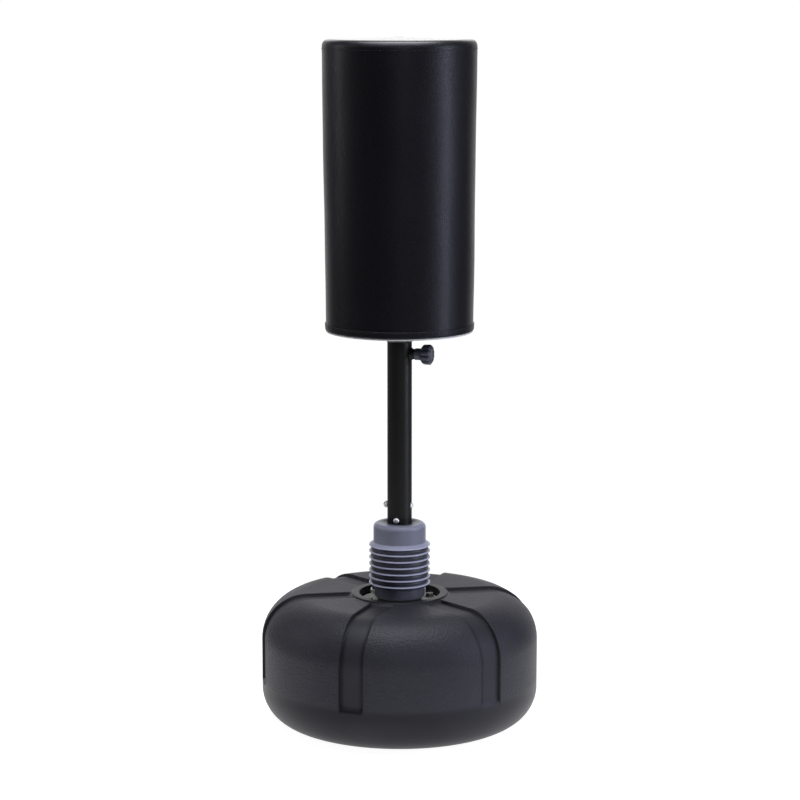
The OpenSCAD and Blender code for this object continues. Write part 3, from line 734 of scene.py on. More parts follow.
def stitch_row(name, centres, along, outward, length, width, height):
    """A row of stitches, each a small ellipsoid: centre + along a + out b + side c.

    Every stitch is the same grid of rows by columns of points on a unit ball, with two poles,
    scaled to half its length, half its width and its height, so the whole row is one array."""
    rows, columns = 5, 6
    first_pole, last_pole = rows * columns, rows * columns + 1
    u = np.linspace(0.0, math.pi, rows + 2)[1:-1][:, None]
    v = (TURN * np.arange(columns) / columns)[None, :]
    ball = np.stack([np.cos(u) + 0 * v, np.sin(u) * np.cos(v), np.sin(u) * np.sin(v)], -1)
    ball = np.concatenate([ball.reshape(-1, 3), [[1.0, 0, 0], [-1.0, 0, 0]]])
    side = np.cross(along, outward)
    body = (ball[None, :, 0, None] * along[:, None] * length / 2
            + ball[None, :, 1, None] * outward[:, None] * height
            + ball[None, :, 2, None] * side[:, None] * width / 2)
    spots = centres[:, None] + body
    ring = np.arange(rows * columns).reshape(rows, columns)
    a, b = ring[:-1], ring[1:]
    quads = np.stack([a, b, np.roll(b, -1, 1), np.roll(a, -1, 1)], -1).reshape(-1, 4)
    first, last = ring[0], ring[-1]
    fans = np.concatenate([
        np.stack([np.full(columns, first_pole), first, np.roll(first, -1)], 1),
        np.stack([np.full(columns, last_pole), np.roll(last, -1), last], 1)])
    if signed_volume(ball[np.concatenate([quads[:, :3], fans])]) < 0:
        quads, fans = quads[:, ::-1], fans[:, ::-1]
    handed = np.sign(np.einsum("ij,ij->i", np.cross(along, outward), side)[0])
    if handed < 0:
        quads, fans = quads[:, ::-1], fans[:, ::-1]
    shift = (len(ball) * np.arange(len(centres)))[:, None, None]
    faces = ((quads[None] + shift).reshape(-1, 4).tolist()
             + (fans[None] + shift).reshape(-1, 3).tolist())
    return mesh_piece(name, spots.reshape(-1, 3), faces)


def ring_stitches(name, shape, radius, height, rise):
    """A row of stitches round the bag at a height: centres (r cos t, r sin t, h)."""
    number = int(TURN * radius / (shape.stitch * STITCH_PITCH))
    t = TURN * np.arange(number) / number
    out = np.stack([np.cos(t), np.sin(t), 0 * t], 1)
    way = np.stack([-np.sin(t), np.cos(t), 0 * t], 1)
    centres = out * radius + np.array([0.0, 0.0, height])
    return stitch_row(name, centres, way, out, shape.stitch, STITCH_W, rise)


def finished(piece, material, body=None, nodes=(), bend=None):
    """Gives a piece its material and slot; bakes its place in when bend is given, and otherwise puts
    it on its body; and hides the nodes it stands for.
    """
    piece.data.materials.clear()
    piece.data.materials.append(material)
    if bend is not None:
        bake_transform(piece)
    elif body is not None:
        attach(piece, body)
    if nodes:
        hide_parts(*nodes)
    return piece


# ------------------------------------------------------------------ tank


def tank_profile(shape, base_r):
    """Half outline of the tank from the well's middle over the ring, shoulder, side and sole.

    Straight runs and arcs: the well's floor and wall, the ring, the flat top, the shoulder's arc,
    the upright side, the lower arc, the flat foot and the recess underneath."""
    floor = low("base_plate").z
    ring_top = shape.top + shape.ring_h
    inner = rounded([
        (0.0, floor, 0.0),
        (shape.well_r, floor, 2.0 * MM),
        (shape.well_r, ring_top, shape.ring_round),
        (shape.ring_r, ring_top, shape.ring_round),
        (shape.ring_r, shape.top, 0.8 * MM),
        (shape.ring_r + 8 * MM, shape.top, 0.0)])
    up_c = (base_r - shape.upper_round, shape.top - shape.upper_round)
    lo_c = (base_r - shape.lower_round, shape.lower_round)
    outer = np.concatenate([
        arc(up_c, shape.upper_round, 90, 0, 34),
        arc(lo_c, shape.lower_round, 0, -90, 26)])
    sole = rounded([
        (lo_c[0], 0.0, 0.0),
        (shape.sole_r, 0.0, 2.0 * MM),
        (shape.sole_r, shape.sole_depth, 2.0 * MM),
        (0.0, shape.sole_depth, 0.0)])
    return np.concatenate([inner, outer, sole])


def tank_shell(shape):
    """The tank as one surface of (row along the outline, column round it).

    Columns near a channel keep a fixed distance t from its middle plane, so they lie at the angle
    asin(t / r), r being no less than the ring's; the others share out the pad between them. A
    channel is the outline moved inwards along its own normal by depth times a smooth step of |t|
    times smooth steps along the row."""
    base_r = high("base_tank").x
    line = filled(tank_profile(shape, base_r), 4.2 * MM)
    r, z = line[:, 0], line[:, 1]
    slope = np.gradient(line, axis=0)
    slope /= np.linalg.norm(slope, axis=1)[:, None]
    normal = np.stack([-slope[:, 1], slope[:, 0]], 1)
    half = shape.channel_w / 2
    wall = shape.channel_wall / 2
    edge, foot = half + wall * 1.9, half - wall * 1.6
    near = np.concatenate([
        np.linspace(-edge, -foot, 10), np.linspace(-foot, foot, 7)[1:-1],
        np.linspace(foot, edge, 10)])
    sector = TURN / shape.channels
    free = np.linspace(0.0, 1.0, 15)
    reach = np.maximum(r, shape.ring_r)[:, None]
    by_wall = np.arcsin(near[None, :] / reach)
    rim = np.arcsin(edge / reach)
    left = -sector / 2 + free[None, :-1] * (sector / 2 - rim)
    right = rim + free[None, 1:-1] * (sector / 2 - rim)
    one = np.concatenate([left, by_wall, right], 1)
    middle = shape.turn - math.pi / 2 + sector * np.arange(shape.channels)
    angle = (middle[None, :, None] + one[:, None, :]).reshape(len(r), -1)
    offset = np.tile(r[:, None] * np.sin(one), (1, shape.channels))
    across = 1.0 - smooth_step(np.abs(offset), half - wall, half + wall)
    top_side = z > shape.lower_round
    outside = np.arange(len(r)) > np.argmax(r >= shape.ring_r + 0.3 * MM)
    along = smooth_step(r, shape.ring_r + 0.6 * MM, shape.ring_r + 5 * MM)
    along = along * smooth_step(z, shape.channel_end - 3.0 * MM, shape.channel_end + 1.5 * MM)
    along = along * (outside & top_side)
    sink = shape.channel_depth * across * along[:, None]
    rr = r[:, None] - sink * normal[:, :1]
    zz = z[:, None] - sink * normal[:, 1:]
    points = np.stack([rr * np.cos(angle), rr * np.sin(angle), zz], -1)
    high_up = smooth_step(z, shape.channel_end - 6 * MM, shape.channel_end + 4 * MM)
    past_ring = smooth_step(r, shape.ring_r, shape.ring_r + 6 * MM) * outside
    # the pads, where the pebble grain is, and where the tank finish paints a lighter tone as painted
    # light from above
    on_pad = (1.0 - across) * (high_up * past_ring)[:, None]
    # painted shade: a dark band along the foot of each channel wall, given to the tank finish as 'rim'
    corner_w = 2.8 * MM
    painted_corner_shade = np.exp(-((np.abs(offset) - half + wall) / corner_w) ** 2) * along[:, None]
    # the channel floors, which the tank finish lifts to nearly the pads' painted lighter tone
    in_channel = across * along[:, None]
    start, end = np.array([0.0, 0.0, z[0]]), np.array([0.0, 0.0, z[-1]])
    return skin("tank_shell", points[1:-1], start, end, attributes={
        "pad": on_pad[1:-1], "rim": painted_corner_shade[1:-1], "trench": in_channel[1:-1]})


def filler_pieces(shape):
    """Filler neck and its fluted cap: turned profiles, the skirt's radius cut by cos^8 flutes.

    The neck's thread is |sin| rings of one pitch. The cap's bar is a ball whose sines and cosines
    are raised to a low power, which squares it."""
    lo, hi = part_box("filler_cap")
    x, y = (lo.x + hi.x) / 2, (lo.y + hi.y) / 2
    outer = (hi.x - lo.x) / 2
    seal_top = high("cap_seal").z
    neck_top = low("cap_seal").z
    neck_r = outer - 4.5 * MM
    bore = neck_r - 4.0 * MM
    h = np.linspace(shape.top + 1.5 * MM, neck_top - 1.5 * MM, 90)
    pitch = 4.0 * MM
    root_r, thread_depth = neck_r - 1.0 * MM, 0.9 * MM
    thread_r = root_r + thread_depth * np.abs(np.sin(math.pi * (h - h[0]) / pitch))
    neck_line = np.concatenate([
        [(bore, shape.top - 3 * MM), (neck_r, shape.top - 3 * MM)],
        np.stack([thread_r, h], 1),
        [(neck_r - 1.2 * MM, neck_top), (bore, neck_top)]])
    neck = turned("filler_neck", neck_line, 72, loop=True, frame_of=shifted(x, y))
    roof = hi.z - 4.0 * MM
    cap_line = filled(rounded([
        (0.0, seal_top + 0.1 * MM, 0.0), (outer - 4.1 * MM, seal_top + 0.1 * MM, 0.5 * MM),
        (outer - 4.1 * MM, lo.z, 0.6 * MM), (outer, lo.z, 0.8 * MM), (outer, roof, 2.4 * MM),
        (outer - 7 * MM, roof, 1.0 * MM), (outer - 8.5 * MM, roof - 1.0 * MM, 1.0 * MM),
        (0.0, roof - 1.0 * MM, 0.0)]), 1.5 * MM)

    def fluted(r, h_, t):
        wave = np.cos(t * shape.cap_flutes / 2) ** 8
        on = smooth_step(r, outer - 2.6 * MM, outer - 0.5 * MM)
        return r - shape.cap_flute_depth * wave * on * smooth_step(roof - h_, 0.0, 2.5 * MM)

    cap = turned("filler_cap_shell", cap_line, 192, lobes=fluted, frame_of=shifted(x, y, shape.turn))
    u = np.linspace(0.0, math.pi, 26)[1:-1][:, None]
    v = (TURN * np.arange(40) / 40)[None, :]
    power, bar_turn = 0.32, 0.6
    half_length, half_width, half_height = outer - 5 * MM, 3.2 * MM, 5.0 * MM
    middle = roof - 1.0 * MM

    def squared(w):
        return np.sign(w) * np.abs(w) ** power

    bar = np.stack([half_length * squared(np.sin(u)) * squared(np.cos(v)),
                    half_width * squared(np.sin(u)) * squared(np.sin(v)),
                    middle + half_height * squared(np.cos(u)) + 0 * v], -1)
    move = shifted(x, y, shape.turn + bar_turn)
    bar = skin("filler_bar", move(bar), move(np.array([0, 0, middle + half_height])),
               move(np.array([0, 0, middle - half_height])))
    return neck, joined("filler_cap_shell", [cap, bar])


class BAG_OT_tank(bpy.types.Operator):
    """Make the moulded tank, its filler neck and its cap"""

    bl_idname = "training_bag.tank"
    bl_label = "Tank and filler"

    def execute(self, context):
        shape = context.scene.bag_tank
        finished(tank_shell(shape), FINISH["tank"], "base", ["base_tank"])
        neck, cap = filler_pieces(shape)
        finished(neck, FINISH["tank_part"], "base")
        finished(cap, FINISH["cap"], "filler_cap", ["filler_cap"])
        return {"FINISHED"}


# ------------------------------------------------------------------ boot and coil


def boot_outline(shape, bottom, top):
    """Radius of the boot at a height: band, ribs as rounded crests over the folds, and collar.

    Between the band and the collar the radius is groove + (rib - groove) times a crest, plus a
    low swell between two ribs. With u the distance from a rib in shares of the pitch, the crest is
    exp(-(u / w)^4), w being wider above the rib than in the undercut below it, and the swell is
    sin^2(pi u). Over the top rib the wall flares straight from the rib's radius into the collar.

    The function returned gives the radius, and the painted light there: a painted highlight full
    on the crests, strong on the flare, middling on the collar and lighter on its shoulder, faint
    on the band, and nought in the folds, which the finish paints as shade."""
    band_top = bottom + shape.band_h
    collar = top - shape.collar_h
    pitch = (collar - band_top) / shape.ribs
    above_rib, below_rib = 0.17, 0.11
    flare_low, flare_top = collar - pitch / 2, collar + 1.5 * MM
    foot_inset = 0.9 * MM

    def radius(h):
        n = (h - band_top) / pitch
        u = n - np.floor(n) - 0.5
        crest = np.exp(-(u / np.where(u > 0, above_rib, below_rib)) ** 4)
        r = shape.groove_r + (shape.rib_r - shape.groove_r) * crest
        r = r + shape.swell * np.sin(math.pi * u) ** 2
        into_band = 1.0 - smooth_step(h, band_top - 1.0 * MM, band_top + 2.2 * MM)
        into_collar = smooth_step(h, collar - 2.2 * MM, flare_top)
        r = r + (shape.band_r - r) * into_band
        r = r + (shape.collar_r - r) * into_collar
        wide = shape.rib_r + (shape.collar_r - shape.rib_r) * smooth_step(h, flare_low, flare_top)
        r = np.where((h > flare_low) & (h < flare_top), wide, r)
        shoulder = np.clip((h - (top - shape.shoulder)) / shape.shoulder, 0.0, 1.0)
        r = r - shape.shoulder * (1.0 - np.sqrt(np.clip(1.0 - shoulder ** 2, 0.0, 1.0)))
        r = r - foot_inset * (1.0 - smooth_step(h, bottom, bottom + 1.2 * MM))
        # painted highlight on the rib crests; nought between them gives painted shade in the folds
        painted_light = crest * (1.0 - into_band) * (1.0 - into_collar)
        on_flare = smooth_step(h, flare_low, flare_low + 1 * MM)
        # painted highlight on the flare over the top rib
        glare = 0.60 * on_flare * (1.0 - smooth_step(h, collar - 1 * MM, collar + 3 * MM))
        # painted highlight, lighter on the collar's shoulder
        light = 0.34 + 0.16 * smooth_step(h, top - 9 * MM, top - 3 * MM)
        smooth = np.maximum(0.10 * into_band, light * into_collar)
        return r, np.maximum(np.maximum(painted_light, glare), smooth)

    return radius


def boot_part(name, shape, bottom, top, start, end):
    """One part of the boot, from start to end: its outside up, then its inside down, as a ring."""
    radius = boot_outline(shape, bottom, top)
    row_gap, inner_rows = 0.36 * MM, 24
    roof, mast_hole = 3.2 * MM, 21.5 * MM
    h = np.linspace(start, end, int((end - start) / row_gap) + 2)
    if end >= top - 1e-6:
        ease = np.sin(np.linspace(0.0, math.pi / 2, 14))
        h = np.concatenate([h[h < top - shape.shoulder], top - shape.shoulder + shape.shoulder * ease])
    outside, crest = radius(h)
    inner_h = np.linspace(end, start, inner_rows)
    inside = np.where(inner_h > top - roof, mast_hole, shape.band_r - shape.wall)
    profile = np.concatenate([np.stack([outside, h], 1), np.stack([inside, inner_h], 1)])
    # the 'crest' attribute carries the outline's painted light; the inside gets none
    mark = np.concatenate([crest, np.zeros(inner_rows)])
    return turned(name, profile, 128, loop=True,
                  attributes={"crest": lambda r, h_, t: mark[:, None] + 0.0 * t})


def coil_part(name, shape, bottom, top, start, end):
    """Part of the coil: a round wire carried along (R cos t, R sin t, pitch t / turn)."""
    turns = shape.coil_turns
    run = np.linspace(0.0, 1.0, turns * 48 + 1)
    rise = (top - bottom - 2 * shape.wire_r) * run + bottom + shape.wire_r
    keep = (rise >= start - 1e-9) & (rise <= end + 1e-9)
    t = TURN * turns * run[keep]
    path = np.stack([shape.coil_r * np.cos(t), shape.coil_r * np.sin(t), rise[keep]], 1)
    return carried(name, path, shape.wire_r, 14)


class BAG_OT_neck(bpy.types.Operator):
    """Make the ribbed boot and the coil, each in a lower and an upper part"""

    bl_idname = "training_bag.neck"
    bl_label = "Boot and coil"

    def execute(self, context):
        shape = context.scene.bag_neck
        joint = next(j for j in frame["joints"] if j["name"] == "tilt_fore_aft")
        middle = joint["pos_m"][2]
        bottom, top = low("spring_boot").z, high("spring_boot").z
        coil_low, coil_top = low("coil_spring").z, high("coil_spring").z
        collar = top - shape.collar_h
        lower = ("base", "spring_neck", (0, 0, bottom + shape.band_h), (0, 0, middle))
        upper = ("spring_neck", "mast", (0, 0, middle), (0, 0, collar))
        rubber, steel = FINISH["boot"], FINISH["spring"]
        finished(boot_part("boot_lower", shape, bottom, top, bottom, middle),
                 rubber, nodes=["spring_boot"], bend=lower)
        finished(boot_part("boot_upper", shape, bottom, top, middle, top),
                 rubber, nodes=["spring_boot"], bend=upper)
        finished(coil_part("coil_lower", shape, coil_low, coil_top, coil_low, middle),
                 steel, nodes=["coil_spring"], bend=lower)
        finished(coil_part("coil_upper", shape, coil_low, coil_top, middle, coil_top),
                 steel, nodes=["coil_spring"], bend=upper)
        return {"FINISHED"}


# ------------------------------------------------------------------ mast and clamp


def mast_pieces(shape):
    """Turned tube and bush: rings whose outside and inside are one closed profile."""
    bottom, top = low("mast_tube").z, high("mast_tube").z
    r, wall = shape.tube_r, shape.tube_wall
    tube = turned("mast_shell", filled(rounded([
        (r - wall, bottom, 0.0), (r, bottom, 0.5 * MM), (r, top, 0.5 * MM),
        (r - wall, top, 0.0), (r - wall, bottom + 1 * MM, 0.0)]), 12 * MM), 96, loop=True)
    flange = high("mast_bush").z
    sleeve = low("mast_bush").z
    bore = 17.6 * MM
    bush = turned("bush_shell", filled(rounded([
        (bore, sleeve, 0.3 * MM), (r - wall, sleeve, 0.4 * MM), (r - wall, top, 0.0),
        (r + 1.3 * MM, top + 0.05 * MM, 0.4 * MM), (shape.bush_r, top + 4.0 * MM, 1.4 * MM),
        (shape.bush_r, flange, 1.0 * MM), (bore, flange, 0.6 * MM), (bore, sleeve + 1 * MM, 0.0)]),
        2.5 * MM), 96, loop=True)
    return tube, bush


def weld_pieces(shape):
    """Weld nut and its bead: a turned ring along X, and a rippled cord where it meets the tube.

    The bead's path is the circle y = R cos t, z = R sin t laid on the tube, so x is the square
    root of tube radius squared less y squared; its radius ripples with sin(ripples t)."""
    lo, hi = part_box("weld_nut")
    z = (lo.z + hi.z) / 2
    r = (hi.z - lo.z) / 2
    bore, root, end = 5.05 * MM, 18.6 * MM, hi.x
    nut = turned("weld_nut_shell", filled(rounded([
        (bore, root, 0.0), (r, root, 0.0), (r, end, 1.1 * MM),
        (bore, end, 0.6 * MM), (bore, root + 0.4 * MM, 0.0)]), 2 * MM), 64, loop=True,
        frame_of=along_x(0.0, z))
    ripples, points_each = 26, 6
    t = TURN * np.arange(ripples * points_each) / (ripples * points_each)
    ring = r + 0.4 * MM
    y = ring * np.cos(t)
    path = np.stack([np.sqrt((shape.tube_r + 0.2 * MM) ** 2 - y ** 2), y, z + ring * np.sin(t)], 1)
    bead = carried("weld_bead", path, shape.weld * (1.0 + 0.14 * np.sin(ripples * t)), 10,
                   up=(1.0, 0.0, 0.0), closed=True)
    return joined("weld_nut_shell", [nut, bead])


def knob_piece(shape):
    """Clamp knob: a profile turned about X whose head is lobed.

    The head's radius is less by a depth times |cos|^5 of half the flutes' angle, fading to the
    neck and to the bevel at its end."""
    lo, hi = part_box("clamp_knob")
    z = (lo.z + hi.z) / 2
    neck, head, length = shape.knob_neck, shape.knob_r, hi.x - lo.x
    flute_depth = 2.5 * MM
    line = filled(rounded([
        (0.0, 0.0, 0.0), (neck - 1.2 * MM, 0.0, 0.4 * MM), (neck, 1.6 * MM, 0.6 * MM),
        (neck, 10.5 * MM, 1.0 * MM), (head - 0.6 * MM, 15.8 * MM, 3.4 * MM),
        (head, length - 3.4 * MM, 2.2 * MM), (head - 4.6 * MM, length, 1.6 * MM),
        (head - 7.0 * MM, length, 0.6 * MM), (head - 7.8 * MM, length - 1.1 * MM, 0.6 * MM),
        (0.0, length - 1.1 * MM, 0.0)]), 1.0 * MM)

    def fluted(r, h, t):
        flute = np.abs(np.cos(t * shape.knob_flutes / 2)) ** 5
        on = smooth_step(h, 11.5 * MM, 15 * MM) * smooth_step(r, head - 8.0 * MM, head - 3.5 * MM)
        return r - flute_depth * flute * on

    return turned("knob_shell", line, 200, lobes=fluted, frame_of=along_x(lo.x, z))


class BAG_OT_mast(bpy.types.Operator):
    """Make the mast tube, its bush, the weld nut and the clamp knob"""

    bl_idname = "training_bag.mast"
    bl_label = "Mast and clamp"

    def execute(self, context):
        shape = context.scene.bag_mast
        tube, bush = mast_pieces(shape)
        finished(tube, FINISH["mast"], "mast", ["mast_tube"])
        finished(bush, FINISH["bush"], "mast", ["mast_bush"])
        finished(weld_pieces(shape), FINISH["mast"], "mast", ["weld_nut"])
        finished(knob_piece(shape), FINISH["knob"], "clamp_knob", ["clamp_knob"])
        return {"FINISHED"}


# ------------------------------------------------------------------ bag


def bag_radius(shape, bottom, top):
    """Radius of the cover at height z: a straight taper from the lower to the upper end."""
    def radius(z):
        return shape.bottom_r + (shape.top_r - shape.bottom_r) * (z - bottom) / (top - bottom)
    return radius


def cover_points(shape, bottom, top, columns):
    """Points of the cover, and the height of each row: turned outline plus ripples in the radius.

    The outline is the flat underside, a small lower round, the taper, the upper round and a top
    that crowns by a cosine. The ripples are a sum of slow sines of angle and height, less near
    the two ends, where the boards hold the cover."""
    radius = bag_radius(shape, bottom, top - shape.edge)
    crown = 2.6 * MM
    edge_z = top - crown
    line = rounded([
        (8 * MM, bottom, 0.0), (float(radius(bottom)), bottom, shape.lower_edge),
        (float(radius(edge_z)) - 0.3 * MM, edge_z, shape.edge), (14 * MM, edge_z, 0.0)], 12)
    line = filled(line, 6.5 * MM)
    inner = line[:, 1] > edge_z - 0.5 * MM
    lift = crown * np.cos(np.clip(line[:, 0] / (shape.top_r - shape.edge), 0, 1) * math.pi / 2) ** 1.5
    z = line[:, 1] + np.where(inner & (line[:, 1] > bottom + 0.1), lift, 0.0)
    r = line[:, 0]
    t = TURN * np.arange(columns) / columns
    share_ = np.clip((z - bottom) / (top - bottom), 0, 1)[:, None]
    side = smooth_step(share_, 0.02, 0.16) * (1.0 - smooth_step(share_, 0.90, 0.985))
    wave = (0.42 * np.sin(3 * t + 5.1 * share_ + 0.6) + 0.30 * np.sin(5 * t - 8.0 * share_ + 2.1)
            + 0.22 * np.sin(8 * t + 11.0 * share_ + 4.0) + 0.20 * np.sin(2 * t - 21.0 * share_))
    rr = r[:, None] + shape.ripple * wave * side
    return np.stack([rr * np.cos(t), rr * np.sin(t), z[:, None] + 0.0 * t], -1), z


def swollen(piece, shape):
    """Settles the cover on its padding: a short cloth run under pressure, gravity off.

    Points near the two ends are pinned, and no point moves further than the swell allowed. As set,
    the run moves no point by as much as a tenth of a millimetre, so the ripples are the outline's."""
    steps = 20
    mesh = piece.data
    before = np.zeros(len(mesh.vertices) * 3)
    mesh.vertices.foreach_get("co", before)
    before = before.reshape(-1, 3)
    bottom, top = before[:, 2].min(), before[:, 2].max()
    grip = 1.0 - (smooth_step(before[:, 2], bottom + 4 * MM, bottom + 40 * MM)
                  * (1.0 - smooth_step(before[:, 2], top - 46 * MM, top - 14 * MM)))
    group = piece.vertex_groups.new(name="grip")
    for level in np.unique(np.round(grip, 1)):
        chosen = np.nonzero(np.round(grip, 1) == level)[0].tolist()
        if level > 0:
            group.add(chosen, float(level), "REPLACE")
    cloth = piece.modifiers.new("swell", "CLOTH")
    cloth.settings.quality = 5
    cloth.settings.mass = 0.4
    cloth.settings.tension_stiffness = 60
    cloth.settings.compression_stiffness = 60
    cloth.settings.shear_stiffness = 30
    cloth.settings.bending_stiffness = 4
    cloth.settings.use_pressure = True
    cloth.settings.uniform_pressure_force = shape.pressure
    cloth.settings.vertex_group_mass = "grip"
    cloth.settings.pin_stiffness = 4
    cloth.settings.effector_weights.gravity = 0.0
    cloth.collision_settings.use_self_collision = False
    cloth.point_cache.frame_end = steps
    for number in range(1, steps + 1):
        bpy.context.scene.frame_set(number)
    held = piece.evaluated_get(bpy.context.evaluated_depsgraph_get())
    after = np.zeros(len(mesh.vertices) * 3)
    held.data.vertices.foreach_get("co", after)
    piece.modifiers.remove(cloth)
    piece.vertex_groups.clear()
    bpy.context.scene.frame_set(1)
    step = after.reshape(-1, 3) - before
    far = np.linalg.norm(step, axis=1)[:, None]
    limit = shape.swell
    step = step * (limit * np.tanh(far / limit) / np.maximum(far, 1e-9))
    mesh.vertices.foreach_set("co", (before + step).ravel())
    mesh.update()


def cover_piece(shape):
    """The padded cover as one closed surface, settled on its padding and then subdivided."""
    columns = 128
    bottom, top = low("cover_bottom").z, high("cover_top").z
    points, z = cover_points(shape, bottom, top, columns)
    start, end = np.array([0.0, 0.0, bottom]), np.array([0.0, 0.0, z[-1]])
    crown = smooth_step(z, top - 8 * MM, top - 2.4 * MM)[:, None] + np.zeros((1, columns))
    piece = skin("bag_cover", points, start, end, attributes={"crown": crown})
    swollen(piece, shape)
    fine = piece.modifiers.new("fine", "SUBSURF")
    fine.levels = fine.render_levels = 1
    return piece


def hem_pieces(shape):
    """Hem round the lower edge, with a rolled lip and soft puckers, and its row of stitches."""
    lo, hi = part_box("hem_band")
    radius = bag_radius(shape, low("cover_bottom").z, high("cover_top").z - shape.edge)
    inner = float(radius(lo.z)) - 1.5 * MM
    outer = hi.x
    puckers, columns_each = 74, 4
    line = filled(rounded([
        (inner, lo.z + 0.2 * MM, 0.0), (outer - 0.3 * MM, lo.z + 0.2 * MM, 2.6 * MM),
        (outer, hi.z - 0.6 * MM, 0.8 * MM), (outer - 1.8 * MM, hi.z, 0.0),
        (inner, hi.z, 0.0), (inner, lo.z + 1 * MM, 0.0)], 8), 2.4 * MM)

    def puckered(r, h, t):
        pull = 0.16 * MM * np.cos(t * puckers) * smooth_step(h, lo.z + 3 * MM, hi.z)
        return r + pull * smooth_step(r, outer - 1.2 * MM, outer - 0.2 * MM)

    hem = turned("hem_shell", line, puckers * columns_each, lobes=puckered, loop=True)
    stitches = ring_stitches("hem_stitches", shape, outer - 0.1 * MM, hi.z - 2.6 * MM, 0.35 * MM)
    return hem, stitches


def welt_piece(shape):
    """Pale piping sewn in under the hem: a round cord carried round the lower edge."""
    bottom = low("cover_bottom").z
    t = TURN * np.arange(240) / 240
    r = shape.bottom_r - shape.welt_in
    path = np.stack([r * np.cos(t), r * np.sin(t), 0 * t + bottom - shape.welt_drop], 1)
    return carried("hem_welt", path, shape.welt_r, 12, closed=True)


def edge_stitches(shape):
    """Stitches just under the upper round, where the top panel is sewn to the side."""
    bottom, top = low("cover_bottom").z, high("cover_top").z
    radius = bag_radius(shape, bottom, top - shape.edge)
    height = top - shape.edge - 6 * MM
    return ring_stitches("edge_stitches", shape, float(radius(height)) + 0.05 * MM, height,
                         0.3 * MM)


def back_seam(shape):
    """Strip over the back seam, and a row of stitches down each side of it.

    The strip is a flat section with rounded edges carried up the taper: x in widths of the strip
    and the depth in millimetres, laid on the bag so that y is the square root of (r + depth)^2
    less x^2."""
    lo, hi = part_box("seam_strip")
    bottom, top = low("cover_bottom").z, high("cover_top").z
    radius = bag_radius(shape, bottom, top - shape.edge)
    section = rounded([(0.0, -1.5, 0.0), (0.5, -1.5, 0.0), (0.5, 1.0, 0.10), (-0.5, 1.0, 0.10),
                       (-0.5, -1.5, 0.0), (0.0, -1.5, 0.0)], 6)
    section = section[:-1]
    h = np.linspace(lo.z + 1 * MM, hi.z - 1 * MM, 90)[:, None]
    x = section[None, :, 0] * shape.seam_w
    depth = section[None, :, 1] * MM
    out = np.sqrt((radius(h) + depth) ** 2 - x ** 2)
    points = np.stack([x + 0 * h, out + 0 * h, h + 0 * x], -1)
    strip = skin("seam_shell", points, points[0].mean(0), points[-1].mean(0))
    rows = []
    for side in (-1, 1):
        number = int((hi.z - lo.z) / (shape.stitch * STITCH_PITCH))
        z = np.linspace(lo.z + 4 * MM, hi.z - 4 * MM, number)
        x = side * (shape.seam_w / 2 - 2.2 * MM)
        y = np.sqrt((radius(z) + 0.95 * MM) ** 2 - x ** 2)
        out = np.stack([0 * z + x, y, 0 * z], 1)
        out /= np.linalg.norm(out, axis=1)[:, None]
        way = np.tile([0.0, 0.0, 1.0], (number, 1))
        rows.append(stitch_row("seam_row", np.stack([0 * z + x, y, z], 1), way, out,
                               shape.stitch, STITCH_W, 0.3 * MM))
    return strip, joined("seam_stitches", rows)


def padding_piece(shape):
    """Foam inside the cover: a turned block with a bore for the core and a soft upper edge."""
    lo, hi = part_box("foam_core")
    radius = bag_radius(shape, low("cover_bottom").z, high("cover_top").z - shape.edge)
    bore = high("core_tube").x + 0.2 * MM
    return turned("foam_block", filled(rounded([
        (bore, lo.z + 0.2 * MM, 0.0), (float(radius(lo.z)) - 2.6 * MM, lo.z + 0.2 * MM, 3 * MM),
        (float(radius(hi.z)) - 2.6 * MM, hi.z - 0.2 * MM, 4 * MM), (bore, hi.z - 0.2 * MM, 0.0),
        (bore, lo.z + 1 * MM, 0.0)]), 16 * MM), 96, loop=True)


def top_padding_piece():
    """Pad over the top board: a turned disc with a rounded rim."""
    lo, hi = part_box("top_pad")
    r = hi.x - 1.2 * MM
    return turned("top_pad_block", filled(rounded([
        (0.0, lo.z + 0.2 * MM, 0.0), (r, lo.z + 0.2 * MM, 2 * MM), (r, hi.z - 3.6 * MM, 8.5 * MM),
        (0.0, hi.z - 3.6 * MM, 0.0)]), 10 * MM), 96)


class BAG_OT_bag(bpy.types.Operator):
    """Make the padded cover, its hem, seams and stitches, and the foam inside"""

    bl_idname = "training_bag.bag"
    bl_label = "Bag"

    def execute(self, context):
        shape = context.scene.bag_bag
        cover = finished(cover_piece(shape), FINISH["leather"], "bag",
                         ["cover_side", "cover_top", "cover_bottom"])
        hem, hem_stitches = hem_pieces(shape)
        finished(hem, FINISH["hem"], "bag", ["hem_band"])
        finished(hem_stitches, FINISH["thread"], "bag")
        finished(welt_piece(shape), FINISH["welt"], "bag")
        finished(edge_stitches(shape), FINISH["thread"], "bag")
        strip, seam_stitches = back_seam(shape)
        finished(strip, FINISH["hem"], "bag", ["seam_strip"])
        finished(seam_stitches, FINISH["thread"], "bag")
        foam = finished(padding_piece(shape), FINISH["foam"], "bag", ["foam_core"])
        pad = finished(top_padding_piece(), FINISH["foam"], "bag", ["top_pad"])
        return {"FINISHED"}


# ------------------------------------------------------------------ finishes of the rest


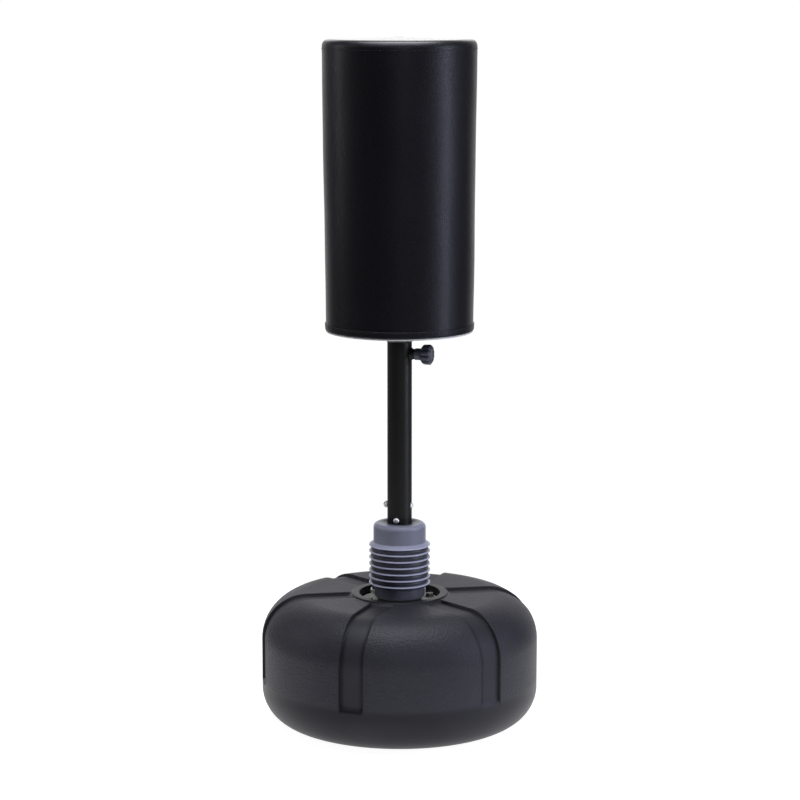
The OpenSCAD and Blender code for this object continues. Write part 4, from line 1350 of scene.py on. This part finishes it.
class BAG_OT_finishes(bpy.types.Operator):
    """Make every finish and put it on the parts that keep the frame's own shape"""

    bl_idname = "training_bag.finishes"
    bl_label = "Finishes"

    def execute(self, context):
        look = context.scene.bag_finish
        tank, zinc = tuple(look.tank), tuple(look.zinc)
        FINISH.update(
            tank=moulded_plastic("tank_plastic", tank, 0.8, 0.44, pads=True),
            tank_part=moulded_plastic("tank_neck_plastic", tank, 0.4, 0.42),
            cap=moulded_plastic("cap_plastic", shade(tank, 0.9), 0.3, 0.36),
            boot=boot_rubber(tuple(look.boot)),
            leather=leather("cover_leather", tuple(look.leather)),
            hem=leather("hem_leather", shade(tuple(look.leather), 0.8), 0.44, 520.0),
            mast=paint("mast_paint", tuple(look.mast), 0.46, 0.05, 0.06),
            socket=paint("socket_paint", (0.012, 0.012, 0.013), 0.40, 0.2),
            plate=paint("plate_paint", tuple(look.plate), 0.42, 0.1, 0.3),
            bush=moulded_plastic("bush_plastic", (0.010, 0.010, 0.011), 0.15, 0.30),
            spring=paint("spring_steel", (0.03, 0.03, 0.032), 0.34, 0.3),
            knob=knob_plastic(tuple(look.knob)),
            zinc=plated("zinc", zinc, 0.38, (0.6, 0.6, 0.58)),
            dull_zinc=plated("dull_zinc", (0.20, 0.20, 0.20), 0.5, (0.10, 0.10, 0.09)),
            brass=plated("insert_brass", (0.72, 0.55, 0.28), 0.30, (0.35, 0.24, 0.10)),
            seal=boot_rubber((0.02, 0.02, 0.02)),
            nylon=moulded_plastic("nylon", (0.62, 0.61, 0.56), 0.1, 0.40, specular=0.5),
            board=fibre_board("board", (0.42, 0.28, 0.15)),
            card=fibre_board("core_card", (0.36, 0.26, 0.16)),
            foam=open_foam((0.62, 0.62, 0.60)),
            thread=thread((0.010, 0.010, 0.012)),
            welt=leather("welt_vinyl", tuple(look.welt), 0.5, 900.0),
        )
        FINISH["seal"].name = "seal_rubber"
        paint_nodes(FINISH["dull_zinc"], "plate_washers", "plate_bolts")
        paint_nodes(FINISH["zinc"], "boot_bolt", "boot_nut", "cross_bolts", "cross_nuts",
                    "clamp_stud", "post_clip", "support_screws")
        paint_nodes(FINISH["plate"], "base_plate")
        paint_nodes(FINISH["socket"], "spring_socket", "spring_plug", "support_plate")
        paint_nodes(FINISH["mast"], "sliding_post")
        paint_nodes(FINISH["brass"], "plate_inserts")
        paint_nodes(FINISH["seal"], "cap_seal")
        paint_nodes(FINISH["cap"], "foot_plug", "post_cap")
        paint_nodes(FINISH["nylon"], "guide_bush")
        paint_nodes(FINISH["board"], "bottom_board", "top_board")
        paint_nodes(FINISH["card"], "core_tube")
        return {"FINISHED"}


# ------------------------------------------------------------------ studio


def softbox(name, place, aim, width, height, power, colour=(1.0, 1.0, 1.0)):
    """A rectangular area light at place, facing aim, unseen by the camera."""
    data = bpy.data.lights.new(name, "AREA")
    data.shape = "RECTANGLE"
    data.size, data.size_y = width, height
    data.energy = power
    data.color = colour
    lamp = bpy.data.objects.new(name, data)
    bpy.context.scene.collection.objects.link(lamp)
    lamp.location = place
    way = Vector(aim) - Vector(place)
    lamp.rotation_mode = "QUATERNION"
    lamp.rotation_quaternion = way.to_track_quat("-Z", "Y")
    lamp.visible_camera = False
    return lamp


def around(azimuth, distance, height):
    """A point at an azimuth from the front, on a circle round the mast."""
    return (distance * math.sin(azimuth), -distance * math.cos(azimuth), height)


def studio_world(azimuth):
    """White to the camera; to the object, a dim room that is white behind the object."""
    world = bpy.data.worlds.new("studio")
    bpy.context.scene.world = world
    world.use_nodes = True
    tree = world.node_tree
    tree.nodes.clear()

    def add(kind, output, settings=None, inputs=None):
        node = tree.nodes.new(kind)
        for name, value in (settings or {}).items():
            setattr(node, name, value)
        for name, value in (inputs or {}).items():
            plug(tree, node.inputs[name], value)
        return Wire(tree, node.outputs[output])

    way = add("ShaderNodeTexCoord", "Generated")
    behind = add("ShaderNodeVectorMath", "Value", {"operation": "DOT_PRODUCT"}, {
        0: way, 1: (-math.sin(azimuth), math.cos(azimuth), 0.0)})
    glow = behind.ramp(0.66, 0.97, 0.035, 1.3)
    seen = add("ShaderNodeLightPath", "Is Camera Ray")
    strength = glow * (1.0 - seen) + seen * 1.02
    back = add("ShaderNodeBackground", "Background", {}, {
        "Color": (1.0, 1.0, 1.0), "Strength": strength})
    out = tree.nodes.new("ShaderNodeOutputWorld")
    tree.links.new(back.socket, out.inputs["Surface"])


class BAG_OT_studio(bpy.types.Operator):
    """Make the pale floor, the soft lights and the camera"""

    bl_idname = "training_bag.studio"
    bl_label = "Studio"

    def execute(self, context):
        look = context.scene.bag_studio
        scene = context.scene
        scene.view_settings.view_transform = "Standard"
        azimuth = look.azimuth
        data = bpy.data.cameras.new("camera")
        data.sensor_width = 36.0
        data.lens = look.lens
        data.shift_x = 0.0005
        camera = bpy.data.objects.new("camera", data)
        scene.collection.objects.link(camera)
        camera.location = around(azimuth, look.distance, look.height)
        camera.rotation_euler = (math.pi / 2 - look.pitch, 0.0, azimuth)
        scene.camera = camera

        columns, below = 96, 0.4 * MM
        t = TURN * np.arange(columns) / columns
        rings = np.array([0.3, 0.5, 0.75, 1.0])[:, None]
        flat = np.stack([rings * np.cos(t), rings * np.sin(t), 0 * rings * t - below], -1)
        mesh = bpy.data.meshes.new("floor")
        index = np.arange(len(rings) * columns).reshape(len(rings), columns)
        a, b = index[:-1], index[1:]
        quads = np.stack([a, b, np.roll(b, -1, 1), np.roll(a, -1, 1)], -1).reshape(-1, 4)
        mesh.from_pydata(flat.reshape(-1, 3).tolist(), [], quads.tolist() + [index[0].tolist()])
        floor = bpy.data.objects.new("floor", mesh)
        scene.collection.objects.link(floor)
        pale = Finish("floor", Roughness=1.0, Specular_IOR_Level=0.0, Emission_Strength=0.95)
        cloud = pale.noise(pale.place(), 1.5, 2.0)
        pale.feed(**{"Base Color": pale.mix(cloud, (0.36, 0.36, 0.36), (0.39, 0.39, 0.39)),
                     "Emission Color": (1.0, 1.0, 1.0)})
        mesh.materials.append(pale.material)

        studio_world(azimuth)
        softbox("overhead", around(azimuth + 0.1, 0.25, 3.3), (0, 0, 0.4), 2.2, 2.2, 125)
        softbox("side", around(azimuth + math.radians(73), 2.6, 1.15), (0, 0, 0.75), 0.45, 2.2, 34,
                (0.84, 0.88, 1.0))
        softbox("front", around(azimuth + math.radians(7), 4.2, 1.95), (0, 0, 0.7), 0.5, 0.9, 14,
                (0.86, 0.87, 1.0))
        softbox("left", around(azimuth - math.radians(100), 3.0, 1.6), (0, 0, 0.5), 0.6, 1.8, 14)
        return {"FINISHED"}


# ------------------------------------------------------------------ panel and registration


OPERATORS = [BAG_OT_finishes, BAG_OT_tank, BAG_OT_neck, BAG_OT_mast, BAG_OT_bag, BAG_OT_studio]


class BAG_PT_sidebar(bpy.types.Panel):
    """Sizes, colours and buttons of the training bag"""

    bl_label = "Training bag"
    bl_idname = "BAG_PT_sidebar"
    bl_space_type = "VIEW_3D"
    bl_region_type = "UI"
    bl_category = "Training bag"

    def draw(self, context):
        for made in OPERATORS:
            self.layout.operator(made.bl_idname)
        for name, group in GROUPS.items():
            box = self.layout.box()
            box.label(text=group.__doc__)
            for prop in group.__annotations__:
                box.prop(getattr(context.scene, name), prop)


def register():
    """Registers the groups, the operators and the panel."""
    for name, group in GROUPS.items():
        bpy.utils.register_class(group)
        setattr(bpy.types.Scene, name, bpy.props.PointerProperty(type=group))
    for made in OPERATORS:
        bpy.utils.register_class(made)
    bpy.utils.register_class(BAG_PT_sidebar)


def unregister():
    """Takes them away again, last first."""
    bpy.utils.unregister_class(BAG_PT_sidebar)
    for made in reversed(OPERATORS):
        bpy.utils.unregister_class(made)
    for name, group in reversed(GROUPS.items()):
        delattr(bpy.types.Scene, name)
        bpy.utils.unregister_class(group)


def main():
    """Registers, and makes every piece in order."""
    register()
    bpy.ops.training_bag.finishes()
    bpy.ops.training_bag.tank()
    bpy.ops.training_bag.neck()
    bpy.ops.training_bag.mast()
    bpy.ops.training_bag.bag()
    bpy.ops.training_bag.studio()


if __name__ == "__main__":
    main()
